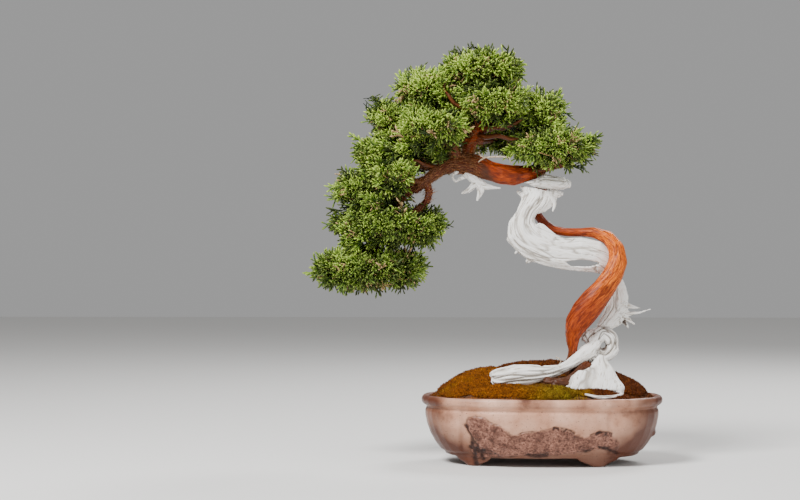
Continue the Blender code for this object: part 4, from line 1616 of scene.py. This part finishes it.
@dataclass
class TwigWork:
    """Brown twigs inside the pads, from the branch tips to the tufts."""

    pads: tuple[FoliagePad, ...]
    thick: float = 0.0014
    thin: float = 0.0006
    sides: int = 5
    steps: int = 6
    bow: float = 0.10
    kink: float = 0.0006
    ends_to_hub: int = 6
    hub_share: float = 0.45
    end_share: float = 0.28
    seed: int = 77

    def anchor(self, pad: FoliagePad) -> Array:
        """The point of the living wood that lies deepest in a pad.

        Args:
            pad: the pad.

        Returns:
            The point in metres.
        """
        wood = points_of(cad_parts["live_trunk"].data)
        middle, half = pad.middle_and_half()
        away = (((wood - middle) / half) ** 2).sum(axis=1)
        return wood[away.argmin()]

    def twig(self, start: Array, end: Array, rng: Chance,
             thick: float, thin: float) -> tuple[Array, Array]:
        """Bent tapering tube.

        Args:
            start: thick end.
            end: thin end.
            rng: where the chance comes from.
            thick: half thickness at the start.
            thin: half thickness at the end.

        Returns:
            Points and faces.
        """
        run = end - start
        reach = np.linalg.norm(run) + 1e-9
        bow = rng.normal(0, self.bow, 3) * reach
        bow[2] -= self.bow * reach
        side, other = square_to(run / reach, 2, 0)
        rings = []
        for step in range(self.steps):
            t = step / (self.steps - 1)
            middle = start + run * t + bow * math.sin(math.pi * t) + rng.normal(0, self.kink, 3)
            girth = thick + (thin - thick) * t
            for k in range(self.sides):
                a = 2 * math.pi * k / self.sides
                rings.append(middle + (side * math.cos(a) + other * math.sin(a)) * girth)
        faces = []
        for step in range(self.steps - 1):
            for k in range(self.sides):
                n = (k + 1) % self.sides
                low = step * self.sides
                high = low + self.sides
                faces.append((low + k, low + n, high + n, high + k))
        return np.array(rings), np.array(faces)

    def build(self, material: Material) -> Piece:
        """Grow all twigs as one piece.

        Args:
            material: the twig finish.

        Returns:
            The new object.
        """
        rng = np.random.default_rng(self.seed)
        parts = []
        for pad in self.pads:
            start = self.anchor(pad)
            middle, _ = pad.middle_and_half()
            places = pad.spots(rng, pad.twig_count)
            ends = places - pad.outward(places) * (pad.tuft_depth * self.end_share)
            hubs = middle + (ends[::self.ends_to_hub] - middle) * self.hub_share
            limbs = [(start, hub, self.thick * 1.5, self.thick * 0.8) for hub in hubs]
            for end in ends:
                hub = hubs[((hubs - end) ** 2).sum(axis=1).argmin()]
                limbs.append((hub, end, self.thick * 0.8, self.thin))
            parts += [self.twig(low, high, rng, thick, thin) for low, high, thick, thin in limbs]
        piece = mesh_from_arrays("inner_twigs", *joined(parts))
        seat(piece, material, "bark")
        return piece


# ==== Soil and moss ====

def moss_tones(points: Array, seed: int = 91) -> tuple[Array, Array]:
    """Tell how fresh and how dry the moss is; the dry tone also carries painted shade in the gap
    under the rim root.

    Args:
        points: (n, 3) points.
        seed: which noise.

    Returns:
        How fresh and how dry each point is, 0 to 1.
    """
    x, y, _ = in_pot(points)
    wander = layered_noise(points / 0.028, seed, 3)
    fresh = np.exp(-((x - 26) / 42) ** 2) * smooth_step(-35, -60, y)
    fresh += 0.25 * smooth_step(0, 0.6, wander)
    dry = smooth_step(50, 115, x + 25 * wander) + smooth_step(0, 38, y + 18 * wander) * 0.92
    dry += smooth_step(-118, -165, x + 14 * wander) * 0.65
    # painted shade: the dark gap under the rim root, laid on with the dry tone
    dry += np.exp(-((x - 86) / 20) ** 2 - ((y + 68) / 12) ** 2) * 1.2
    return np.clip(fresh, 0, 1), np.clip(dry - fresh * 0.6, 0, 0.92)


def set_moss_tones(mesh: Mesh) -> None:
    """Store the moss tones on a mesh.

    Args:
        mesh: the mesh.
    """
    fresh, dry = moss_tones(points_of(mesh))
    set_values(mesh, "fresh", fresh)
    set_values(mesh, "dry", dry)


@dataclass
class MossStems:
    """Short pointed stems that stand on a mesh."""

    height: float = 0.0032
    width: float = 0.0010
    foot: float = -0.0006
    lean: float = 0.40

    def plant(self, name: str, mesh: Mesh, spots: Array, rng: Chance, material: Material) -> Piece:
        """Plant one stem at each chosen point of a mesh.

        Args:
            name: the new piece's name.
            mesh: the ground.
            spots: numbers of the chosen points.
            rng: where the chance comes from.
            material: the moss finish.

        Returns:
            The new object.
        """
        way = unit(normals_of(mesh)[spots] + rng.normal(0, self.lean, (len(spots), 3)))
        turns = turned_to(way, rng.uniform(0, SPIN, len(spots)))
        stems = mesh_from_arrays(name, *copies(
            cone(self.width, self.foot, self.height), CONE_FACES, turns,
            rng.uniform(0.45, 1.1, len(spots)), points_of(mesh)[spots]))
        set_moss_tones(stems.data)
        set_values(stems.data, "shade", np.repeat(rng.random(len(spots)) ** 2.2, 4))
        seat(stems, material, "moss")
        return stems


@dataclass
class MossCushion:
    """Moss patch with small humps and upright stems."""

    node: str
    stems: int
    seed: int
    voxel: float = 0.0014
    softening: int = 6
    hump: float = 0.0022

    def build(self, material: Material) -> None:
        """Shape the cushion and plant its stems.

        Args:
            material: the moss finish.
        """
        rng = np.random.default_rng(self.seed)
        piece = fine_copy("cushion_" + self.node, self.node, self.voxel, self.softening)
        mesh = piece.data
        points, normals = surface_of(mesh)
        upward = smooth_step(-0.3, 0.5, normals[:, 2])
        humps = layered_noise(points / 0.010, 7, 3) + 0.30
        lift = upward * (humps * self.hump + lattice_noise(points / 0.0024, 15) * 0.0008)
        set_points(mesh, points + normals * lift[:, None])
        set_moss_tones(mesh)
        set_values(mesh, "shade", smooth_step(0.2, -0.5, humps) * 0.7)
        seat(piece, material, "moss", self.node)
        upper = np.flatnonzero(normals_of(mesh)[:, 2] > 0.0)
        chosen = rng.choice(upper, min(self.stems, len(upper)), replace=False)
        MossStems().plant("stems_" + self.node, mesh, chosen, rng, material)


@dataclass
class SoilBed:
    """Mound of soil with loose clay grains on it."""

    grains: int = 2600
    grain_size: float = 0.0021
    creeping_stems: int = 14000
    voxel: float = 0.0022
    softening: int = 3
    strewn_band: float = 0.012
    seed: int = 5

    def build(self, material: Material, moss: Material) -> None:
        """Roughen the mound, strew the grains and let thin moss creep over it.

        Args:
            material: the soil finish.
            moss: the moss finish.
        """
        rng = np.random.default_rng(self.seed)
        bed = fine_copy("soil_bed", "soil", self.voxel, self.softening)
        mesh = bed.data
        points, normals = surface_of(mesh)
        top = smooth_step(0.25, 0.7, normals[:, 2])
        lift = layered_noise(points / 0.004, self.seed, 2) * 0.0011 * top
        set_points(mesh, points + normals * lift[:, None])
        seat(bed, material, "soil", "soil")
        upper = np.flatnonzero(normals[:, 2] > 0.5)
        upper = upper[points[upper, 2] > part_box("pot")[1][2] - self.strewn_band]
        chosen = rng.choice(upper, self.grains)
        self.strew(points[chosen] + rng.normal(0, 0.0008, (self.grains, 3)), rng, material)
        creep = upper[layered_noise(points[upper] / 0.03, 12, 2) > -0.30]
        spots = rng.choice(creep, min(self.creeping_stems, len(creep)), replace=False)
        MossStems(height=0.0036, width=0.0011).plant("stems_creeping", mesh, spots, rng, moss)

    def strew(self, places: Array, rng: Chance, material: Material) -> None:
        """Small angular grains at places on the mound.

        Args:
            places: (n, 3) middles.
            rng: where the chance comes from.
            material: the soil finish.
        """
        corners = np.array([(1, 0, 0), (-1, 0, 0), (0, 1, 0), (0, -1, 0), (0, 0, 1), (0, 0, -1)],
                           float)
        faces = np.array([(0, 2, 4), (2, 1, 4), (1, 3, 4), (3, 0, 4),
                          (2, 0, 5), (1, 2, 5), (3, 1, 5), (0, 3, 5)])
        way = unit(rng.normal(0, 1, (len(places), 3)))
        turns = turned_to(way, rng.uniform(0, SPIN, len(places)))
        sizes = self.grain_size * rng.uniform(0.4, 1.0, len(places))
        shape = corners[None] * rng.uniform(0.7, 1.1, (len(places), 6, 1))
        grains = mesh_from_arrays("soil_grains", *copies(shape, faces, turns, sizes, places))
        seat(grains, material, "soil")


# ==== Pot ====

@dataclass
class Pot:
    """Fired pot with a rock-like relief on its front."""

    voxel: float = 0.0015
    softening: int = 10
    relief_height: float = 0.0022
    outline: tuple[tuple[float, float], ...] = (
        (-114, 62), (-111, 73), (-100, 76), (-88, 74), (-80, 68), (-68, 64), (-58, 57), (-48, 50),
        (-40, 49), (-31, 54), (-16, 55), (0, 57), (15, 61), (26, 59), (42, 52), (58, 46), (66, 48),
        (80, 56), (96, 53), (103, 44), (112, 36), (108, 24), (84, 27), (64, 24), (30, 20),
        (0, 17), (-40, 17), (-80, 14), (-100, 12), (-106, 26), (-98, 40), (-106, 50))
    crevices: tuple[tuple[tuple[float, float], ...], ...] = (
        ((-113, 62), (-109, 51), (-104, 41), (-103, 33), (-99, 23), (-100, 13), (-96, 2)),
        ((-104, 38), (-97, 34), (-94, 24), (-87, 12)),
        ((-107, 30), (-98, 27), (-90, 21), (-78, 19)),
        ((-92, 24), (-84, 27), (-72, 21)),
        ((-28, 21), (-12, 18), (4, 21)),
        ((14, 60), (30, 58), (42, 53)),
        ((62, 25), (76, 31), (90, 30), (101, 25), (108, 20)),
        ((66, 47), (82, 54), (97, 50)))
    creases: tuple[float, float] = (-120.0, 94.0)
    crack_depth: float = 0.0014
    crease_depth: float = 0.0009
    rib_height: float = 0.0009
    waver: float = 0.0005
    knob_height: float = 0.0035

    def inside(self, x: Array, z: Array) -> Array:
        """Measure how far points lie inside the relief's outline.

        Args:
            x: places across the pot in millimetres.
            z: places up the pot in millimetres.

        Returns:
            Distances to the outline in millimetres, negative outside it.
        """
        corners = np.array(self.outline, float)
        after = np.roll(corners, -1, axis=0)
        crossings = np.zeros(len(x), int)
        nearest = np.full(len(x), np.inf)
        for (ax, az), (bx, bz) in zip(corners, after):
            nearest = np.minimum(nearest, self.to_segment(x, z, ax, az, bx, bz))
            spans = (az > z) != (bz > z)
            slope = (bx - ax) / (bz - az) if bz != az else 0.0
            crossings += spans & (x < ax + (z - az) * slope)
        return np.where(crossings % 2 == 1, nearest, -nearest)

    @staticmethod
    def to_segment(x: Array, z: Array, ax: float, az: float, bx: float, bz: float) -> Array:
        """Distance from points to one segment.

        Args:
            x: places across the pot.
            z: places up the pot.
            ax: the segment's start across.
            az: its start upward.
            bx: its end across.
            bz: its end upward.

        Returns:
            The distances.
        """
        dx, dz = bx - ax, bz - az
        t = np.clip(((x - ax) * dx + (z - az) * dz) / (dx * dx + dz * dz), 0, 1)
        return np.hypot(x - ax - t * dx, z - az - t * dz)

    def build(self, material: Material) -> Piece:
        """Carve the relief and mark the painted shade, the rim's mottling and the cracks.

        Args:
            material: the pot's finish.

        Returns:
            The new object.
        """
        piece = fine_copy("pot_body", "pot", self.voxel, self.softening)
        mesh = piece.data
        points, normals = surface_of(mesh)
        local = (points - pot_middle()) / MM
        x, y, z = local.T
        wobble = layered_noise(local / 9.0, 3, 3)
        shiver = layered_noise(local / 3.2, 7, 2)
        sx, sz = x + 3.2 * wobble + 0.9 * shiver, z + 2.4 * wobble + 0.9 * shiver
        depth = self.inside(sx, sz)
        front = smooth_step(-0.25, -0.55, normals[:, 1]) * (y < -30)
        rock = smooth_step(-0.8, 2.2, depth) * front
        rough = layered_noise(local / 6.5, 11, 4)
        crack_and_shade = np.zeros(len(x))
        for line in self.crevices:
            for (ax, az), (bx, bz) in zip(line, line[1:]):
                gap = self.to_segment(sx, sz, ax, az, bx, bz)
                crack_and_shade = np.maximum(crack_and_shade, smooth_step(4.0 + 2.4 * wobble, 1.1, gap))
        broken = smooth_step(-0.55, 0.15, shiver + 0.5 * wobble)
        crack_and_shade *= np.maximum(broken, 0.9 * smooth_step(-72, -92, x))
        # painted shadow along the relief's outline, strongest on the left, laid in with the cracks
        edge = smooth_step(1.6, 0.2, np.abs(depth))
        edge *= smooth_step(-0.35, 0.5, wobble - 0.004 * x)
        crack_and_shade = np.maximum(crack_and_shade, edge * 0.7) * front
        lift = rock * (0.55 + rough * 0.75) * self.relief_height - crack_and_shade * self.crack_depth
        wall = smooth_step(16, 22, z) * smooth_step(87, 80, z) * (np.abs(y) > 60)
        crease = np.zeros(len(x))
        for line in self.creases:
            crease = np.maximum(crease, np.exp(-((x - line) / 3.2) ** 2) * wall)
        lift -= crease * self.crease_depth
        outside = (np.abs(x) / 180 + np.abs(y) / 110 > 0.75) & (normals[:, 2] > -0.8)
        lift += np.exp(-((z - 15.5) / 1.6) ** 2) * outside * self.rib_height
        lift += layered_noise(local / 26.0, 23, 2) * self.waver
        knob = np.exp(-((z - 46) / 5.0) ** 2 - ((y + 20) / 10.0) ** 2) * (x > 140)
        lift += knob * (self.knob_height + rough * 0.002)
        set_points(mesh, points + normals * lift[:, None])
        cloudy = 0.58 + 0.42 * smooth_step(-0.4, 0.5, layered_noise(local / 30.0, 19, 3))
        side = np.abs(x + 8)
        # painted shade: darker brown towards the ends, and low down at the ends
        ends = smooth_step(116, 166, side) * (0.45 + 0.55 * cloudy)
        ends += smooth_step(92, 126, side) * smooth_step(66, 24, z) * cloudy * 0.8
        rim = smooth_step(86, 90, z) * smooth_step(-0.35, 0.45, layered_noise(local / 20.0, 41, 2))
        # painted shade: darker towards the foot
        low = smooth_step(62, 6, z)
        # painted shade from the ends, foot and creases, with the rim's random mottling
        mottle_and_shade = ends * 0.95 + rim * 0.34 + low * 0.85 + crease * 0.15
        set_values(mesh, "mottle_and_shade", np.clip(mottle_and_shade, 0, 0.97))
        set_values(mesh, "rock", rock)
        set_values(mesh, "crack_and_shade", crack_and_shade)
        seat(piece, material, "pot", "pot")
        return piece


@dataclass
class DrainFittings:
    """Screens over the drain holes and the wire clips that hold them."""

    screens: tuple[str, ...] = ("drain_screen_left", "drain_screen_right")
    clips: tuple[str, ...] = ("drain_clip_left", "drain_clip_right")

    def dress(self) -> None:
        """Give the CAD pieces their finishes."""
        plastic = PlainFinish("screen_mesh", (0.03, 0.03, 0.03), 0.6).material()
        wire = PlainFinish("clip_wire", (0.55, 0.55, 0.57), 0.32, 1.0).material()
        for names, material in ((self.screens, plastic), (self.clips, wire)):
            for name in names:
                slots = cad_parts[name].data.materials
                slots.clear()
                slots.append(material)
                LOG.info("%s dressed", name)


# ==== Studio ====

@dataclass
class Studio:
    """Pale floor, soft lights and a level camera in front of the pot."""

    distance: float = 2.8
    sideways: float = -0.120
    eye_height: float = 0.3175
    yaw_degrees: float = 1.89
    lens: float = 83.84
    sensor: float = 36.0
    sight: float = 50.0
    target: Place = (0.0, 0.0, 0.3)
    daylight: float = 0.36
    floor_size: float = 12.0
    lights: tuple[tuple[str, Place, float, float], ...] = (
        ("key_light", (-1.1, -1.4, 2.2), 0.8, 120.0),
        ("fill_light", (1.9, -1.6, 0.9), 1.8, 19.0),
        ("rim_light", (1.0, 1.5, 1.9), 1.0, 42.0))

    def add_camera(self) -> None:
        """Place the camera."""
        data = bpy.data.cameras.new("camera")
        data.sensor_width = self.sensor
        data.lens = self.lens
        data.clip_end = self.sight
        camera = bpy.data.objects.new("camera", data)
        bpy.context.scene.collection.objects.link(camera)
        middle = pot_middle()
        camera.location = (middle[0] + self.sideways, middle[1] - self.distance, self.eye_height)
        camera.rotation_euler = (math.radians(90), 0, math.radians(self.yaw_degrees))
        bpy.context.scene.camera = camera

    def add_lights(self) -> None:
        """Hang the soft lights, all aimed at the middle of the tree."""
        target = Vector(self.target)
        for name, place, size, power in self.lights:
            data = bpy.data.lights.new(name, "AREA")
            data.size = size
            data.energy = power
            lamp = bpy.data.objects.new(name, data)
            lamp.location = place
            lamp.rotation_euler = (target - Vector(place)).to_track_quat("-Z", "Y").to_euler()
            bpy.context.scene.collection.objects.link(lamp)
        world = bpy.data.worlds.new("studio")
        world.use_nodes = True
        background = world.node_tree.nodes["Background"]
        background.inputs["Color"].default_value = (1.0, 1.0, 1.0, 1.0)
        background.inputs["Strength"].default_value = self.daylight
        bpy.context.scene.world = world

    def add_floor(self) -> None:
        """Lay the floor."""
        half = self.floor_size / 2
        corners = np.array([(-1, -1, 0), (1, -1, 0), (1, 1, 0), (-1, 1, 0)], float) * half
        floor = mesh_from_arrays("floor", corners, np.array([(0, 1, 2, 3)]))
        floor.data.materials.append(PlainFinish("floor", (0.78, 0.77, 0.75), 0.9).material())


# ==== Whole tree ====

OLD_BARK_TO = -92.0
TWIG_VOXEL = 0.0004
TWIG_SOFTENING = 4
BARK_FIBRE = TwigFinish("bark_fibre", (0.40, 0.170, 0.060), (0.085, 0.026, 0.010))
INNER_TWIG = TwigFinish("inner_twig", (0.40, 0.235, 0.095), (0.13, 0.055, 0.020))
LIVE_WOOD = WoodPiece("live_wood", "live_trunk", (TRUNK_RUN, LEADER_RUN, *LOOP_RUNS),
                      Weather.LIVING, softening=24, groove_depth=0.0010, old_from=-88.0, bole=True,
                      seed=3)
BROWN_ROOT = WoodPiece("brown_root", "bark_root",
                       (GrainRun(((4, -47, 123), (36, -46, 121), (58, -31, 138), (68, -22, 147))),),
                       Weather.LIVING, voxel=0.0008, softening=12, groove_depth=0.0024,
                       groove_size=0.30, old_from=120.0, swell=0.0026, seed=8)
BARE_WOOD = (
    WoodPiece("bare_trunk", "deadwood_trunk", (BARE_TRUNK_RUN,), voxel=0.0010, seed=11),
    WoodPiece("bare_stump", "deadwood_lower",
              (GrainRun(((111, 14, 275), (115, 13, 246), (113, 10, 226), (98, 5, 206))),
               GrainRun(((116, 11, 232), (149, 11, 230))),
               GrainRun(((118, 11, 227), (164, 5, 229))),
               GrainRun(((118, 10, 220), (140, 8, 206)))),
              voxel=0.0007, softening=6, hollows=((125, 207, 4.0),), seed=17),
    WoodPiece("knot_and_root", "deadwood_knot_root",
              (GrainRun(((-80, -42, 128), (-40, -41, 133), (8, -36, 137), (41, -26, 147),
                         (66, -13, 164), (80, -3, 182), (91, -3, 196), (105, -3, 188),
                         (108, -3, 172), (96, -3, 158), (82, -3, 160))),),
              voxel=0.0010, softening=12, groove_depth=0.0026, groove_size=0.14,
              end=BrokenEnd((-80, -42, 129), (-1, 0, -0.05)), hollows=((92, 174, 5.6),),
              flutes=(-1.15, -1.65, -2.15, -2.6), flute_depth=0.0033, cracks=0.3,
              knot_depth=0.0026, seed=23),
    WoodPiece("front_root", "deadwood_front_root",
              (GrainRun(((88, -8, 157), (86, -33, 133), (76, -59, 102))),),
              voxel=0.0010, softening=24, groove_depth=0.0008, groove_size=0.09,
              fibre_depth=0.0001, cracks=0.0, bell_depth=0.0065, seed=29),
    WoodPiece("crown_cap", "deadwood_crown",
              (GrainRun(((-30, -8, 419), (4, -5, 419), (46, -4, 416))),),
              voxel=0.0009, softening=12, seed=31),
    WoodPiece("hanging_jin", "deadwood_jin",
              (GrainRun(((-114, -16, 433), (-94, -15, 417), (-62, -12, 410))),
               GrainRun(((-94, -15, 417), (-97, -16, 391))),
               GrainRun(((-100, -15, 416), (-120, -15, 402)))),
              voxel=0.0006, softening=6, groove_depth=0.0009, seed=37),
    WoodPiece("rim_root", "deadwood_rim_root",
              (GrainRun(((60, -78, 107), (88, -81, 102), (116, -66, 107))),),
              voxel=0.0006, softening=6, groove_depth=0.0005, seed=41))


@dataclass
class Bonsai:
    """All the parts of the potted tree."""

    pads: tuple[str, ...] = (
        "foliage_apex", "foliage_right", "foliage_shoulder", "foliage_upper_right",
        "foliage_upper_left", "foliage_centre_left", "foliage_far_left", "foliage_left",
        "foliage_left_front", "foliage_cascade", "foliage_lower", "foliage_lowest",
        "foliage_rear_top", "foliage_rear_right", "foliage_rear_left")
    moss_beds: tuple[tuple[str, int], ...] = (
        ("moss_left", 12000), ("moss_right", 7000), ("moss_front", 6500), ("moss_rear", 12000),
        ("moss_front_left", 6000), ("moss_front_right", 4500))
    loose_tufts: tuple[Place, ...] = (
        (-208, -15, 524), (-200, -30, 518), (-252, -18, 484), (-243, -32, 476), (-276, -22, 436),
        (-262, -36, 430), (-288, -20, 380), (-276, -36, 374), (-296, -20, 330), (-282, -40, 322),
        (-24, -15, 566), (-34, -30, 560), (38, -15, 504), (28, -32, 498), (-150, -38, 552),
        (-132, -45, 545), (-95, -50, 538), (-60, -45, 540), (-35, -42, 532), (-165, -40, 470),
        (-180, -45, 478), (-215, -45, 462), (-225, -50, 352), (-255, -48, 350), (-190, -45, 338),
        (-240, -42, 445), (-60, 40, 545), (-150, 42, 520), (-215, 40, 465), (-250, 36, 360),
        (-252, -28, 332), (-236, -34, 329), (-219, -36, 328), (-203, -32, 327), (-228, 4, 327),
        (-205, 14, 329), (-246, 12, 330), (-190, -22, 330))

    def build_wood(self) -> None:
        """Living and bleached wood."""
        bark = BarkFinish().material()
        bleached = DeadwoodFinish().material()
        live = LIVE_WOOD.build(bark)
        BarkShreds().build(live, TRUNK_RUN, BARK_FIBRE.material(), OLD_BARK_TO)
        SmallLimbs("crown_limbs", "bark", CROWN_LIMBS).build(bark)
        SmallLimbs("neck_spurs", "deadwood", NECK_SPURS, seed=231).build(bleached)
        BROWN_ROOT.build(bark)
        for piece in BARE_WOOD:
            piece.build(bleached)
        twig = fine_copy("forked_twig", "dry_twig", TWIG_VOXEL, TWIG_SOFTENING)
        dry = TwigFinish().material()
        seat(twig, dry, "twig", "dry_twig")
        SmallLimbs("moss_twig", "twig", MOSS_TWIGS, sides=6, seed=251).build(dry)

    def build_foliage(self) -> None:
        """Pads of sprays, the tufts between them and the twigs inside them."""
        green = FoliageFinish().material()
        shape = SprayShape()
        pads = tuple(FoliagePad(node, shape, seed=100 + number)
                     for number, node in enumerate(self.pads))
        for pad in pads:
            pad.build(green)
        LooseTufts(shape, self.loose_tufts).build(pads[0], green)
        TwigWork(pads).build(INNER_TWIG.material())

    def build_ground(self) -> None:
        """Soil, grains and moss."""
        moss = MossFinish().material()
        SoilBed().build(SoilFinish().material(), moss)
        for number, (node, stems) in enumerate(self.moss_beds):
            MossCushion(node, stems, seed=60 + number).build(moss)

    def build(self) -> None:
        """Build everything, the pot first."""
        Pot().build(PotFinish().material())
        DrainFittings().dress()
        self.build_ground()
        self.build_wood()
        self.build_foliage()


def main() -> None:
    """Set the studio, build the tree and note its size."""
    logging.basicConfig(level=logging.INFO)
    studio = Studio()
    studio.add_camera()
    studio.add_lights()
    studio.add_floor()
    Bonsai().build()


if __name__ == "__main__":
    main()
